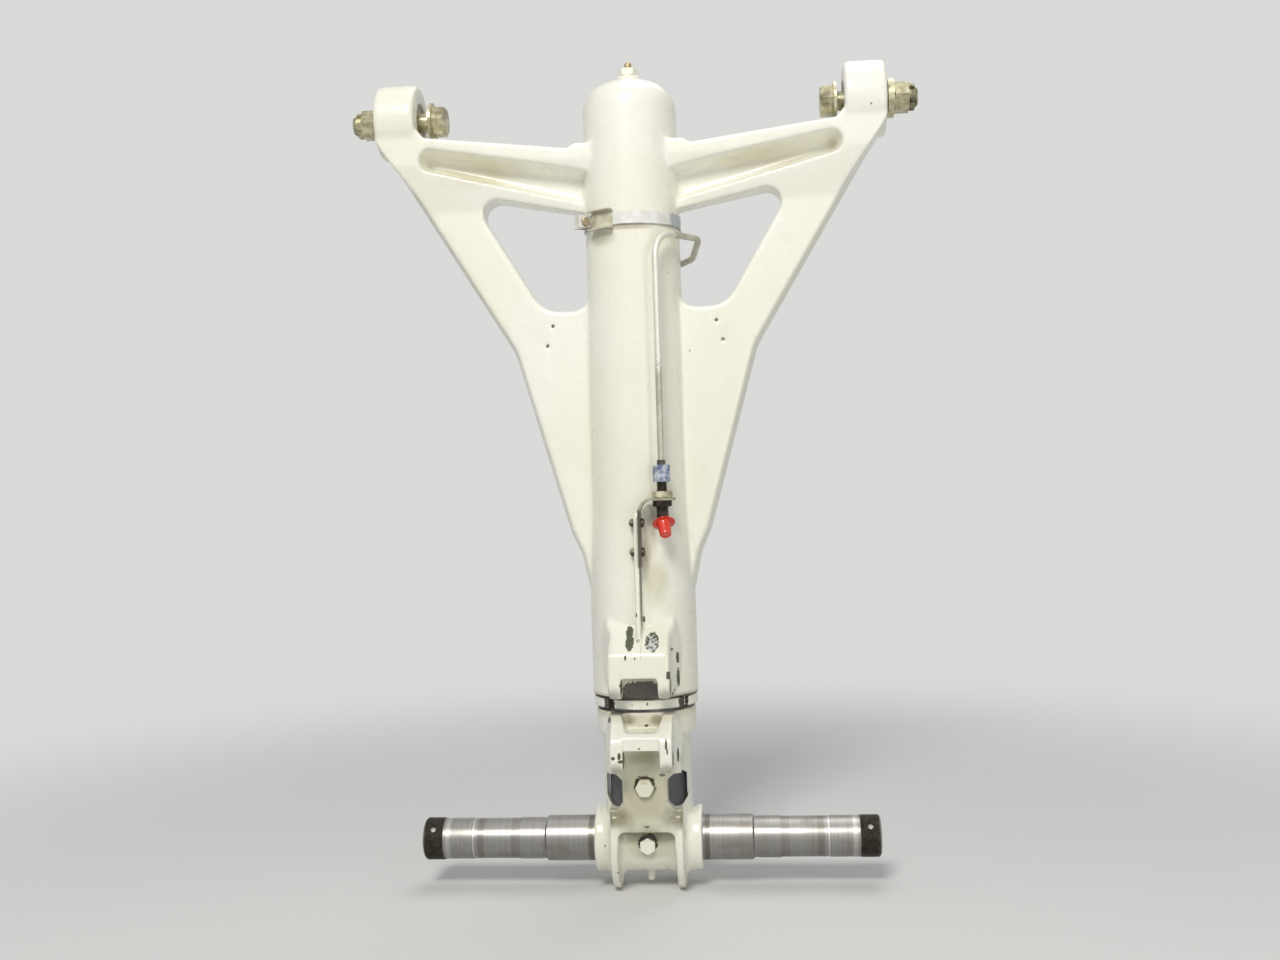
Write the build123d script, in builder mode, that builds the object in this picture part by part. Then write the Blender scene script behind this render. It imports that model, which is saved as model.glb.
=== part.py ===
"""Main landing gear shock strut of a light twin: an air-oil leg for two wheels.

A forged cylinder with two trunnion arms carries a piston tube, whose lower end is
bolted into an axle fork.  The leg stands fully compressed, with its torque links off.

Frame: the origin is where the leg's axis crosses the trunnion axis.  +Z is up the leg,
+X runs along the trunnion axis and the axle, and -Y is the torque link side.
All sizes are in millimetres.
"""
import os
from math import cos, radians, sin, sqrt, tan

from build123d import *

os.makedirs("parts", exist_ok=True)

# ------------------------------------------------------------------ fits and clearances
running_gap = 0.05        # radial, for pins, journals and bearings that turn or slide
press_gap = 0.02          # radial, for bushes and seats that are pressed home
seat_gap = 0.05           # between faces that lie on each other
seal_gap = 0.10           # round a ring in its groove
free_gap = 0.5            # round parts that pass each other without touching
cut_clear = 0.5           # from a round body to the flat cut that ends it

# ------------------------------------------------------------------ cylinder forging
piston_r = 38.1           # the piston's radius sizes the bearings, the bore and the barrel
bearing_r = piston_r + 4.3
bore_r = bearing_r + 0.1  # working bore of the cylinder
barrel_r = bore_r + 5.5   # upper barrel, outside
foot_barrel_r = bore_r + 10.0        # thick lower barrel, outside
barrel_bottom = -578.5               # the lower fittings and the fork hang from this height
foot_barrel_top = barrel_bottom + 89.5
barrel_taper_top = barrel_bottom + 178.5
dome_base = -2.0          # where the barrel starts to close
dome_side_r = barrel_r - 1.5         # barrel's outside there
dome_r = 29.0             # rounding of the barrel's closed top
dome_wall = 8.0
valve_boss_r = 15.8
valve_boss_height = 8.0   # above the dome

lug_inner_x = 211.5       # trunnion lug, inner face
lug_outer_x = 252.5
lug_r = 37.0
lug_rounding = 4.0

truss_half = 14.0         # half thickness of the arms and the lower web
truss_edge_slope = 21.0   # degrees, outer edges fall back to the parting line
head_half = 30.0          # half thickness of the cross beam and the lug roots
head_full_z = -50.0       # the arm starts to thin below this height
head_thin_z = -95.0       # and has reached the truss thickness here
head_side_z = -80.0       # the head's side leaves the arm's crest here

beam_top_barrel = (59.0, -35.0)      # beam's upper edge beside the barrel
beam_top_lug = (201.0, -15.5)        # beam's upper edge beside the lug
arm_shoulder = (247.0, -33.0)        # outer corner under the lug
arm_knee = (122.0, -238.0)           # arm and lower web meet
web_low = (71.0, barrel_taper_top - 18.0)      # the lower web's edge runs out below this
web_runout = ((60.5, barrel_taper_top - 41.0), (57.0, barrel_taper_top - 59.0),
              (50.5, foot_barrel_top + 2.0))
knee_r = 60.0
edge_bevel = truss_half * tan(radians(truss_edge_slope))

window_inner_x = barrel_r - 4.0      # triangular window, from inside the barrel's wall to the arm
window_top_slope = 0.20
window_top = (60.0, -99.0)           # a point of its upper edge
window_corner = (162.4, -78.5)
window_low_x = 91.0
window_bottom = -198.0
window_corner_r = 14.0
window_low_r = 30.0
window_barrel_r = 18.0
window_head_r = 3.0

channel_floor_half = 4.0             # half thickness left under the beam's channels
channel_slope = 14.0                 # degrees of draft on the channel walls
channel_top_slope = 0.1775
channel_top = (198.0, -33.0)         # a point of its upper edge
channel_low_slope = 0.257
channel_low = (198.0, -57.0)         # a point of its lower edge
channel_end_x = 209.0
channel_end_r = 11.0
channel_start_x = 20.0
channel_floor_r = 5.0

web_hole_d = 4.0                     # through holes for a harness clip, each side
web_holes = ((81.4, -212.5), (87.4, -232.0))

# ------------------------------------------------------------------ torque link clevises
link_y = -(foot_barrel_r + 15.0)     # pivot line of both torque link clevises
ear_r = 12.5
ear_inner_x = 17.5
ear_thick = 12.0
link_clear_r = 14.0                  # room for the link's end between the ears
link_bush_r = 8.0
link_bolt_r = 6.35
boss_base_x = 38.0                   # half width where the boss meets the barrel
boss_flank_y = -(foot_barrel_r - 14.5)
boss_root_y = -(barrel_r - 12.0)     # the bosses start inside the barrel's wall
boss_edge_r = 3.0
upper_link_z = barrel_bottom + 15.0
upper_boss_top = barrel_bottom + 82.5 # its top slopes from here down to the nose
upper_boss_fall = 36.0
boss_nose_r = 12.0
lower_boss_mid_setback = 2.5

# fin in front of the barrel, which carries the brake line bracket
fin_thick = 4.7
fin_top = barrel_bottom + 175.5
fin_top_y = -(barrel_r + 15.0)
fin_low_y = -(foot_barrel_r + 15.5)

# drag brace clevis behind the barrel
brace_y = barrel_r + 30.0
brace_z = barrel_taper_top + 5.0
brace_ear_r = 17.0
brace_inner_x = 16.0
brace_ear_thick = 13.0
brace_bush_r = 11.0
brace_bolt_r = 7.94
brace_root_height = 104.0
brace_clear = 1.5

# ------------------------------------------------------------------ gland and bearings
gland_r = foot_barrel_r - 1.0
gland_height = 9.5
gland_joint = 1.5                    # groove between cylinder and gland nut
gland_neck_r = bore_r + 4.0
gland_neck_height = 26.0
gland_slot_width = 7.0
gland_slot_depth = 4.5
gland_slot_angle = -127.0            # degrees from +X, the first of four spanner slots
gland_lip = 2.0
scraper_height = 5.0
scraper_r = bearing_r - 0.9
lower_bearing_height = 30.0
backup_height = 1.5
seal_spacer_height = 16.0
seal_groove = 5.5                    # room above the gland nut's neck for its packing ring
ring_r = 1.9                         # half section of the packing rings

# ------------------------------------------------------------------ piston
collar_gap = 2.5                     # below the gland nut, with the leg compressed
collar_top = barrel_bottom - gland_joint - gland_height - collar_gap
piston_wall = 5.5
piston_top = dome_base - 70.0
piston_bottom = collar_top - 98.0
upper_bearing_height = 34.0
upper_bearing_seat_r = piston_r - 2.1
retainer_height = 8.0
bulkhead_top = collar_top - 33.0
bulkhead_height = 12.0
pin_base_r = 9.0
pin_tip_r = 5.0
pin_top = piston_top + 12.0
pin_foot_r = 16.0
pin_foot_height = 6.0
orifice_tube_r = 20.0
orifice_tube_wall = 3.0
orifice_tube_bottom = -330.0
orifice_flange_r = 30.0
orifice_flange_height = 6.0
orifice_plate_height = 8.0
orifice_port_r = 3.0
orifice_port_z = -60.0
orifice_port_pitch = 40.0
orifice_r = 9.6                      # hole that the metering pin runs in
retainer_r = piston_r + 1.9

# ------------------------------------------------------------------ axle fork
collar_r = piston_r + 11.2
collar_height = 24.0
fork_r = piston_r + 5.4
fork_cone_height = 5.0
fork_web_y = piston_r + 8.9          # front and rear web faces
fork_web_bottom = collar_top - 117.0
fork_web_top = collar_top - 48.0
lower_link_z = collar_top - 42.0
lower_boss_top_y = -(collar_r + 6.7) # its top slopes from here to the shoulder
lower_boss_shoulder_z = collar_top - 22.0
scoop_depth = 16.0
scoop_top_x = 21.0                   # half widths of the scoop, at its mouth and its floor
scoop_low_x = 15.0
scoop_r = 5.0
fork_floor_bottom = collar_top - 113.0           # solid floor under the socket, into the axle housing
rib_half_x = 22.0                    # central rib between the two windows
fork_window_x = 40.0
fork_window_top = collar_top - 60.0
fork_window_bottom = collar_top - 89.5
fork_window_corner = 6.0
web_edge_r = 7.0
hollow_r = 22.0                      # ball-shaped hollow in the web at each window's foot
hollow_depth = 4.5
hollow_x = 31.0
pocket_r = 6.0                       # upper corners of the pocket between the feet
fork_bolt_z = collar_top - 73.0

axle_z = collar_top - 133.0
housing_r = 32.0
housing_half = 53.0
foot_x = 32.0
foot_thick = 7.0                     # at its rim, 2 mm more at its root
foot_draft = 1.0
foot_r = fork_web_y + 1.5             # stands a little out of the web
foot_blend_r = 8.5                   # between foot and housing
foot_rim_r = 1.5
foot_bottom = axle_z - 48.0
nub_bottom = axle_z - 42.0
nub_r = 5.5
nub_tip_r = 3.6

# ------------------------------------------------------------------ axle
axle_r = 22.22
axle_bore_r = 13.0
axle_half = 227.5
relief_r = 20.0
axle_shoulder_x = housing_half + 49.0
relief_width = 6.0                   # groove beside the shoulder
relief_ramp = 2.0
inner_seat_r = 20.3
inner_seat_width = 22.0
mid_seat_r = 19.7                    # eased between the two bearing seats
outer_seat_r = 20.0
outer_seat_width = 29.0
axle_thread_r = 19.7
axle_thread_length = 20.5
axle_cotter_x = axle_half - 10.5
axle_chamfer = 1.5
axle_cotter_d = 4.0

# ------------------------------------------------------------------ bolts
trunnion_bolt_r = 9.525
trunnion_bush_r = 13.0
trunnion_flange_r = 17.8
trunnion_recess_r = 18.5
trunnion_recess = 5.0
trunnion_bush_flange = 3.0
trunnion_hex = 27.0
trunnion_head = 13.0
trunnion_washer_r = 19.0
trunnion_washer = 3.0
trunnion_nut = 20.0
trunnion_nut_slots = 5.5
trunnion_slot_width = 4.5
trunnion_cotter_at = 75.3            # cotter hole, from under the head
bush_length = 14.0
washer_gap = 0.25                    # radial, round the bolt
thread_gap = 0.05                    # radial, nuts are modelled without a thread
trunnion_bolt_length = 82.0
cotter_d = 4.0
head_scallop_r = 21.5
head_scallop_x = 178.0
left_head_x = 198.5                  # under the head, from the middle; both bolts are put in
right_head_x = 202.0                 # loosely, with their heads towards the barrel
left_nut_x = 255.8                   # nut's inner face
right_nut_x = 260.8

fork_bolt_r = 5.55
fork_bolt_hex = 15.9
fork_bolt_head = 7.0
fork_bolt_seat_r = 10.3
axle_bolt_r = 4.76
axle_bolt_hex = 14.3
axle_bolt_head = 6.0
axle_bolt_seat_r = 8.9
seat_depth = 1.2                     # spot faces for the through bolts
fork_seat_y = fork_web_y - seat_depth
axle_seat_y = housing_r - seat_depth
fork_nut = 9.5
axle_nut = 8.0

# ------------------------------------------------------------------ brake line
tube_r = 3.175
tube_wall = 0.9
line_x = 26.0                        # the vertical run of the brake line
line_y = -(barrel_r + 13.0)
line_top = -131.0
line_side = (barrel_r + 18.0, -6.0)  # where it passes the barrel's right side, and turns back
line_back = (barrel_r + 10.0, 22.0)
line_behind = (34.0, barrel_r + 6.0)
line_end = (4.0, barrel_r + 16.0)
line_drops = (15.0, 19.0)            # below its top, where it turns back and behind
line_bends = (24.0, 12.0, 20.0, 25.0)
plate_top = barrel_bottom + 193.0    # bulkhead plate of the bracket
plate_thick = 2.5
tube_foot = plate_top + 23.5         # lower end of the tube, inside its nut
bracket_width = 17.0
plate_corner_r = 6.0
strap_corner_r = 1.0
bracket_bend_r = 13.0
plate_end_x = 38.5
bracket_bottom = plate_top - 66.5
screw_r = 2.4
screw_head_r = 4.4
screw_head_height = 3.0
screw_nut_hex = 8.0
screw_nut_height = 3.0
screw_y = -(barrel_r + 8.5)
screw_zs = (plate_top - 23.5, plate_top - 51.5)
union_r = 5.75
union_hex = 15.9
union_hex_height = 6.0
union_bottom = plate_top - 25.5
union_neck_z = plate_top - 18.5
union_tip_r = 5.2
union_mid_r = 5.5
union_thread_reach = 8.0             # thread's length inside a coupling nut
bulkhead_nut_top = plate_top + 6.5
union_thread_r = 4.75
bulkhead_nut_hex = 17.46
bulkhead_nut_height = 6.5
tube_nut_hex = 14.3
tube_nut_height = 16.5
tube_nut_bottom = plate_top + 15.0
sleeve_r = 4.1
sleeve_height = 4.5
cap_flange_r = 11.0
cap_r = 6.9
cap_tip_r = 5.3
cap_wall = 0.8
cap_height = 15.0
cap_mouth = plate_top - 20.0
cap_tilt = 8.0                       # degrees, the cap sits a little askew

# ------------------------------------------------------------------ clamp band
band_top = -108.0
band_height = 12.7
band_thick = 1.2
band_fit = 0.15                      # radial, band on barrel
band_gap_turn = 56.0                 # degrees round from the front, to the left
ear_reach = 15.0
ear_gap = 7.0
clamp_bolt_r = 2.4
clamp_bolt_reach = 7.0               # bolt's distance outside the band
bracket_top = -105.0                 # the formed bracket stands a little past the band
bracket_low = -123.5
bracket_lip = 7.0
bracket_lip_thick = 1.0
bracket_span = (7.0, 38.0)           # degrees round from the gap, towards the front
clamp_hex = 8.0
clamp_head = 3.5
clamp_nut_height = 4.0

# ------------------------------------------------------------------ filler valve
valve_hex = 19.0
valve_hex_height = 7.0
valve_neck_r = 9.0
valve_neck_step = 3.0                # the neck reaches this far below the dome's crown
valve_port_r = 3.0
valve_stem_grip = 12.0
valve_stem_r = 3.4
valve_stem_height = 7.0


def save(part, name):
    """Label a finished piece and write it as its own STEP file."""
    part.label = name
    export_step(part, f"parts/{name}.step")


def block(low, high, mode=Mode.ADD):
    """A box between its lowest and highest corners."""
    with Locations(low):
        Box(*(h - l for l, h in zip(low, high)), align=(Align.MIN, Align.MIN, Align.MIN), mode=mode)


def save_sections(part, body_name, sections):
    """Cut a part along flat faces: each box's portion is a node, and so is what is left."""
    with BuildPart() as body:
        add(part)
        for low, high in sections.values():
            block(low, high, Mode.SUBTRACT)
    save(body.part, body_name)
    for name, (low, high) in sections.items():
        with BuildPart() as section:
            add(part)
            block(low, high, Mode.INTERSECT)
        save(section.part, name)


def axial(plane):
    """Plane through another plane's normal, for profiles of (radius, height)."""
    return Plane(origin=plane.origin, x_dir=plane.x_dir, z_dir=-plane.y_dir)


def turn(plane, *points, mode=Mode.ADD):
    """Revolve a closed profile of (radius, height) points about a plane's normal."""
    with BuildSketch(axial(plane)) as profile:
        with BuildLine():
            Polyline(*points, close=True)
        make_face()
    revolve(profile.sketch, axis=Axis(plane.origin, plane.z_dir), mode=mode)


def ring(plane, inner_r, outer_r, low, high, mode=Mode.ADD):
    """A plain ring round a plane's normal, between two heights."""
    with BuildSketch(plane.offset(low)) as section:
        Circle(outer_r)
        if inner_r > 0:
            Circle(inner_r, mode=Mode.SUBTRACT)
    extrude(section.sketch, amount=high - low, mode=mode)


def hexagon(plane, across_flats, low, high, faced_ends):
    """A hexagon whose corners are turned off at 30 degrees on the ends named by -1 and 1."""
    corner_r = across_flats / sqrt(3)
    flat_r = 0.96 * across_flats / 2
    cut = (corner_r - flat_r) * tan(radians(30))
    with BuildSketch(plane.offset(low)) as section:
        RegularPolygon(across_flats / 2, 6, major_radius=False)
    extrude(section.sketch, amount=high - low)
    low_r = flat_r if -1 in faced_ends else corner_r
    high_r = flat_r if 1 in faced_ends else corner_r
    low_cut = cut if -1 in faced_ends else 0.01
    high_cut = cut if 1 in faced_ends else 0.01
    turn(plane, (0, low), (low_r, low), (corner_r, low + low_cut), (corner_r, high - high_cut),
         (high_r, high), (0, high), mode=Mode.INTERSECT)


def hex_bolt(plane, hex_size, head, shank_r, length, cross_hole=None):
    """A hexagon bolt: the head lies behind the plane and the shank runs along its normal."""
    with BuildPart() as bolt:
        hexagon(plane, hex_size, -head, 0, (-1,))
        point = 0.15 * shank_r
        turn(plane, (0, -head / 2), (shank_r, -head / 2), (shank_r, length - point),
             (shank_r - point, length), (0, length))
        if cross_hole:
            height, hole_d = cross_hole
            with BuildSketch(Plane(origin=plane.origin + plane.z_dir * height,
                                   x_dir=plane.z_dir, z_dir=plane.x_dir)):
                Circle(hole_d / 2)
            extrude(amount=2 * shank_r, both=True, mode=Mode.SUBTRACT)
    return bolt.part


def hex_nut(plane, hex_size, height, bore, slots=None):
    """A nut that stands on the plane, with castle slots in its far end where wanted."""
    with BuildPart() as nut:
        hexagon(plane, hex_size, 0, height, (-1, 1) if not slots else (-1,))
        if slots:
            slot_width, slot_depth = slots
            crown_r = hex_size / 2 - 0.6
            turn(plane, (crown_r, height - slot_depth), (hex_size, height - slot_depth),
                 (hex_size, height + 1), (crown_r, height + 1), mode=Mode.SUBTRACT)
            with BuildSketch(plane.offset(height - slot_depth)):
                with PolarLocations(0, 3, angular_range=180, start_angle=30):
                    Rectangle(2 * hex_size, slot_width)
            extrude(amount=slot_depth + 1, mode=Mode.SUBTRACT)
        ring(plane, 0, bore, -1, height + 1, mode=Mode.SUBTRACT)
    return nut.part


def barrel_r_at(z):
    """Outside radius of the upper barrel, which tapers a little towards the dome."""
    share = (z - barrel_taper_top) / (dome_base - barrel_taper_top)
    return barrel_r + share * (dome_side_r - barrel_r)


def arm_edge_x(z):
    """Outer edge of the trunnion arm at a height between the shoulder and the knee."""
    share = (z - arm_shoulder[1]) / (arm_knee[1] - arm_shoulder[1])
    return arm_shoulder[0] + share * (arm_knee[0] - arm_shoulder[0])


def window_top_at(x):
    """Upper edge of the triangular window under the cross beam."""
    return window_top[1] + window_top_slope * (x - window_top[0])


def channel_top_at(x):
    """Upper edge of the beam's channel, on the beam's face."""
    return channel_top[1] + channel_top_slope * (x - channel_top[0])


def channel_low_at(x):
    """Lower edge of the beam's channel, on the beam's face."""
    return channel_low[1] + channel_low_slope * (x - channel_low[0])


# ================================================================== cylinder forging
# Closed barrel with its dome, bored from below.
dome_centre = (dome_side_r - dome_r, dome_base)
dome_top = dome_base + dome_r
with BuildPart() as barrel:
    with BuildSketch(Plane.XZ):
        with BuildLine():
            Polyline((dome_centre[0], dome_top), (0, dome_top), (0, barrel_bottom),
                     (foot_barrel_r, barrel_bottom), (foot_barrel_r, foot_barrel_top),
                     (barrel_r, barrel_taper_top), (dome_side_r, dome_base))
            RadiusArc((dome_side_r, dome_base), (dome_centre[0], dome_top), -dome_r)
        make_face()
    revolve(axis=Axis.Z)
    with BuildSketch(Plane.XY.offset(dome_top - 2.0)):
        Circle(valve_boss_r)
    extrude(amount=valve_boss_height + 2.0, taper=22)

# The bore, with the wider seat of the gland nut's neck at its mouth.
with BuildPart() as bore:
    with BuildSketch(Plane.XZ):
        with BuildLine():
            top_r = dome_centre[0]
            inner_r = dome_r - dome_wall
            Polyline((top_r, dome_base + inner_r), (0, dome_base + inner_r),
                     (0, barrel_bottom - 1), (gland_neck_r + press_gap, barrel_bottom - 1),
                     (gland_neck_r + press_gap, barrel_bottom + gland_neck_height + seal_groove),
                     (bore_r, barrel_bottom + gland_neck_height + seal_groove),
                     (bore_r, dome_base - 12.0), (top_r + inner_r, dome_base - 6.0),
                     (top_r + inner_r, dome_base))
            RadiusArc((top_r + inner_r, dome_base), (top_r, dome_base + inner_r), -inner_r)
        make_face()
    revolve(axis=Axis.Z)
    with BuildSketch(Plane.XY.offset(dome_base)):
        Circle(valve_neck_r + press_gap)
    extrude(amount=100)

# One side of the arms and the lower web, from the parting line out to the front face.
with BuildPart() as truss_front:
    with BuildSketch(Plane.XZ) as truss_outline:
        Polygon((-20, beam_top_barrel[1] - 40.0), (lug_inner_x, arm_shoulder[1] - 3.0), arm_shoulder,
                arm_knee, web_low, *web_runout, (-20, web_runout[-1][1]), align=None)
    with BuildSketch(Plane.XZ.offset(truss_half)):
        add(truss_outline.sketch_local)
        offset(amount=-edge_bevel, kind=Kind.INTERSECTION, mode=Mode.REPLACE)
    loft(ruled=True)
    knee = edges().filter_by(lambda e: abs(e.tangent_at(0.5).Y) > 0.5).sort_by_distance(
        Vector(arm_knee[0], 0, arm_knee[1]))[0]
    fillet(knee, radius=knee_r)

# Both arms with the cross beam, the lug roots, the windows and the channels.
with BuildPart() as truss:
    # arm and lower web, alike on both sides of the parting line
    add(truss_front.part)
    mirror(about=Plane.XZ)

    # cross beam and lug roots, twice as thick, thinning down the arm
    with BuildSketch(Plane.XZ.offset(-head_half)):
        with BuildLine():
            Polyline((0, beam_top_barrel[1]), beam_top_barrel, beam_top_lug,
                     (lug_inner_x, beam_top_lug[1] + 1.0), (lug_inner_x, 0), (lug_outer_x, 0),
                     (lug_outer_x, arm_shoulder[1] + 10.0), arm_shoulder,
                     (arm_edge_x(head_side_z) - edge_bevel, head_side_z),
                     (arm_edge_x(head_thin_z) - edge_bevel, head_thin_z), (0, head_thin_z),
                     (0, beam_top_barrel[1]))
        make_face()
    extrude(amount=2 * head_half)
    with BuildSketch(Plane.YZ):
        for side in (-1, 1):
            with BuildLine():
                Polyline((side * head_half, head_full_z), (side * truss_half, head_thin_z),
                         (side * truss_half, head_thin_z - 5), (side * 60, head_thin_z - 5),
                         (side * 60, head_full_z), (side * head_half, head_full_z))
            make_face()
    extrude(amount=lug_outer_x + 1, mode=Mode.SUBTRACT)

    # lug eye round the trunnion axis
    with BuildSketch(Plane.YZ.offset(lug_inner_x)):
        Circle(lug_r)
    extrude(amount=lug_outer_x - lug_inner_x)

    # triangular window between arm, beam and barrel
    with BuildSketch(Plane.XZ.offset(-head_half - 1)):
        with BuildLine():
            FilletPolyline((window_inner_x, window_bottom), (window_low_x, window_bottom),
                           window_corner, (window_inner_x, window_top_at(window_inner_x)),
                           radius=(window_barrel_r, window_low_r, window_corner_r, window_head_r),
                           close=True)
        make_face()
    extrude(amount=2 * head_half + 2, mode=Mode.SUBTRACT)

    # channels in both faces of the beam, between its top flange and its thin lower flange
    for side in (-1, 1):
        with BuildSketch(Plane.XZ.offset(-side * head_half)):
            with BuildLine():
                FilletPolyline((channel_start_x, channel_top_at(channel_start_x)),
                               (channel_end_x, channel_top_at(channel_end_x)),
                               (channel_end_x, channel_low_at(channel_end_x)),
                               (channel_start_x, channel_low_at(channel_start_x)),
                               radius=(channel_end_r, channel_end_r))
                Line((channel_start_x, channel_low_at(channel_start_x)),
                     (channel_start_x, channel_top_at(channel_start_x)))
            make_face()
        extrude(amount=side * (head_half - channel_floor_half), taper=channel_slope,
                mode=Mode.SUBTRACT)
    mirror(about=Plane.YZ)

# Torque link clevis in front of the barrel's foot: a boss split by the link's slot.
boss_front = link_y - ear_r
ear_outer_x = ear_inner_x + ear_thick


def narrow_flanks(top, bottom):
    """Trim a clevis boss: its flanks narrow towards the ears, and bow out at mid height."""
    with BuildSketch(Plane.XY.offset(bottom - 1)) as plan:
        Polygon((-boss_base_x, boss_root_y), (-boss_base_x, boss_flank_y),
                (-ear_outer_x, link_y + ear_r), (-ear_outer_x, boss_front - 1),
                (ear_outer_x, boss_front - 1), (ear_outer_x, link_y + ear_r),
                (boss_base_x, boss_flank_y), (boss_base_x, boss_root_y), align=None)
    extrude(plan.sketch, amount=top - bottom + 2, mode=Mode.INTERSECT)
    with BuildSketch(Plane.XZ.offset(-boss_root_y - 1)) as front:
        with BuildLine():
            middle = (top + bottom) / 2
            corner_x = ear_outer_x + cut_clear
            for side in (-1, 1):
                ThreePointArc((side * corner_x, bottom - 1), (side * boss_base_x, middle),
                              (side * corner_x, top + 1))
            Line((-corner_x, bottom - 1), (corner_x, bottom - 1))
            Line((-corner_x, top + 1), (corner_x, top + 1))
        make_face()
    extrude(front.sketch, amount=boss_root_y - boss_front + 2, mode=Mode.INTERSECT)


with BuildPart() as upper_clevis:
    with BuildSketch(Plane.YZ.offset(-boss_base_x)):
        with BuildLine():
            FilletPolyline((boss_root_y, upper_boss_top), (boss_front, upper_boss_top - upper_boss_fall),
                           (boss_front, upper_link_z - ear_r), (boss_root_y, upper_link_z - ear_r),
                           radius=(boss_nose_r, ear_r - 0.01))
            Line((boss_root_y, upper_link_z - ear_r), (boss_root_y, upper_boss_top))
        make_face()
    extrude(amount=2 * boss_base_x)
    narrow_flanks(upper_boss_top, upper_link_z - ear_r)
    nose = edges().filter_by(Axis.Z).sort_by(Axis.Y)[:2]
    fillet(nose, radius=boss_edge_r)
    with BuildSketch(Plane.YZ.offset(-ear_inner_x)):
        with Locations((link_y, upper_link_z)):
            Circle(link_clear_r)
        with Locations((link_y, upper_link_z - ear_r)):
            Rectangle(2 * link_clear_r, 2 * ear_r)
    extrude(amount=2 * ear_inner_x, mode=Mode.SUBTRACT)
    with BuildSketch(Plane.YZ.offset(-boss_base_x)):
        with Locations((link_y, upper_link_z)):
            Circle(link_bush_r)
    extrude(amount=2 * boss_base_x, mode=Mode.SUBTRACT)

# Drag brace clevis behind the barrel.
with BuildPart() as brace_clevis:
    brace_outer_x = brace_inner_x + brace_ear_thick
    with BuildSketch(Plane.YZ.offset(-brace_outer_x)):
        with Locations((brace_y, brace_z)):
            Circle(brace_ear_r)
        with Locations((-boss_root_y, brace_z)):
            Rectangle(1, brace_root_height)
        make_hull()
    extrude(amount=2 * brace_outer_x)
    with BuildSketch(Plane.YZ.offset(-brace_inner_x)):
        with Locations((brace_y, brace_z)):
            Circle(brace_ear_r + brace_clear)
        with Locations((brace_y + brace_ear_r, brace_z)):
            Rectangle(2 * brace_ear_r, 2 * (brace_ear_r + brace_clear))
    extrude(amount=2 * brace_inner_x, mode=Mode.SUBTRACT)
    with BuildSketch(Plane.YZ.offset(-brace_outer_x)):
        with Locations((brace_y, brace_z)):
            Circle(brace_bush_r)
    extrude(amount=2 * brace_outer_x, mode=Mode.SUBTRACT)

with BuildPart() as cylinder_forging:
    add(truss.part)
    add(barrel.part)
    add(upper_clevis.part)
    add(brace_clevis.part)

    # fin that carries the brake line bracket
    with BuildSketch(Plane.YZ.offset(-fin_thick / 2)):
        fin_bottom = upper_boss_top - upper_boss_fall
        Polygon((boss_root_y, fin_top), (fin_top_y, fin_top), (fin_low_y, fin_bottom),
                (boss_root_y, fin_bottom), align=None)
    extrude(amount=fin_thick)

    # holes for a harness clip in the webs and for the bracket's screws in the fin
    with BuildSketch(Plane.XZ.offset(-truss_half - 1)):
        for x, z in web_holes:
            with Locations((x, z), (-x, z)):
                Circle(web_hole_d / 2)
    extrude(amount=2 * truss_half + 2, mode=Mode.SUBTRACT)
    with BuildSketch(Plane.YZ.offset(-fin_thick / 2 - 1)):
        with Locations(*((screw_y, z) for z in screw_zs)):
            Circle(screw_r + press_gap)
    extrude(amount=fin_thick + 2, mode=Mode.SUBTRACT)

    # trunnion lugs: bush bore, recess for the inner bush's flange, and room for the bolt's head
    for side in (-1, 1):
        lug = Plane(origin=(0, 0, 0), x_dir=(0, 1, 0), z_dir=(side, 0, 0))
        ring(lug, 0, trunnion_bush_r + press_gap, lug_inner_x - 1, lug_outer_x + 1, Mode.SUBTRACT)
        ring(lug, 0, head_scallop_r, head_scallop_x, lug_inner_x, Mode.SUBTRACT)
        ring(lug, 0, trunnion_recess_r, lug_inner_x - 1, lug_inner_x + trunnion_recess,
             Mode.SUBTRACT)
    add(bore.part, mode=Mode.SUBTRACT)

    # rounded lug rims and channel floors
    rims = edges().filter_by(GeomType.CIRCLE).filter_by(lambda e: abs(e.radius - lug_r) < 0.1)
    fillet(rims, radius=lug_rounding)
    floors = edges().filter_by(lambda e: abs(abs(e.center().Y) - channel_floor_half) < 0.05)
    fillet(floors, radius=channel_floor_r)

# One forging, kept as five nodes that meet on flat cuts: the barrel, a truss with its lug on
# each side, and the two clevises.
cut_x = foot_barrel_r + cut_clear
cut_y = barrel_r + cut_clear
far = 2 * lug_outer_x
low_z = 2 * barrel_bottom
save_sections(cylinder_forging.part, "cylinder_barrel", {
    "truss_left": ((-far, -far, low_z), (-cut_x, far, far)),
    "truss_right": ((cut_x, -far, low_z), (far, far, far)),
    "drag_brace_clevis": ((-cut_x, cut_y, brace_z - brace_root_height / 2), (cut_x, far, far)),
    "upper_link_clevis": ((-cut_x, -far, low_z), (cut_x, -cut_y, upper_boss_top))})

# ================================================================== trunnion hardware
def lug_plane(side, x):
    """Plane across the trunnion axis at a distance from the middle, facing outwards."""
    return Plane(origin=(side * x, 0, 0), x_dir=(0, 1, 0), z_dir=(side, 0, 0))


for side, name in ((-1, "left"), (1, "right")):
    axis_plane = lug_plane(side, 0)
    with BuildPart() as trunnion_bushings:
        recess_floor = lug_inner_x + trunnion_recess
        bush_bore = trunnion_bolt_r + running_gap
        ring(axis_plane, bush_bore, trunnion_flange_r, recess_floor - trunnion_bush_flange,
             recess_floor)
        ring(axis_plane, bush_bore, trunnion_bush_r, recess_floor, recess_floor + bush_length)
        ring(axis_plane, bush_bore, trunnion_bush_r, lug_outer_x - bush_length, lug_outer_x)
    save(trunnion_bushings.part, f"trunnion_bushings_{name}")

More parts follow.
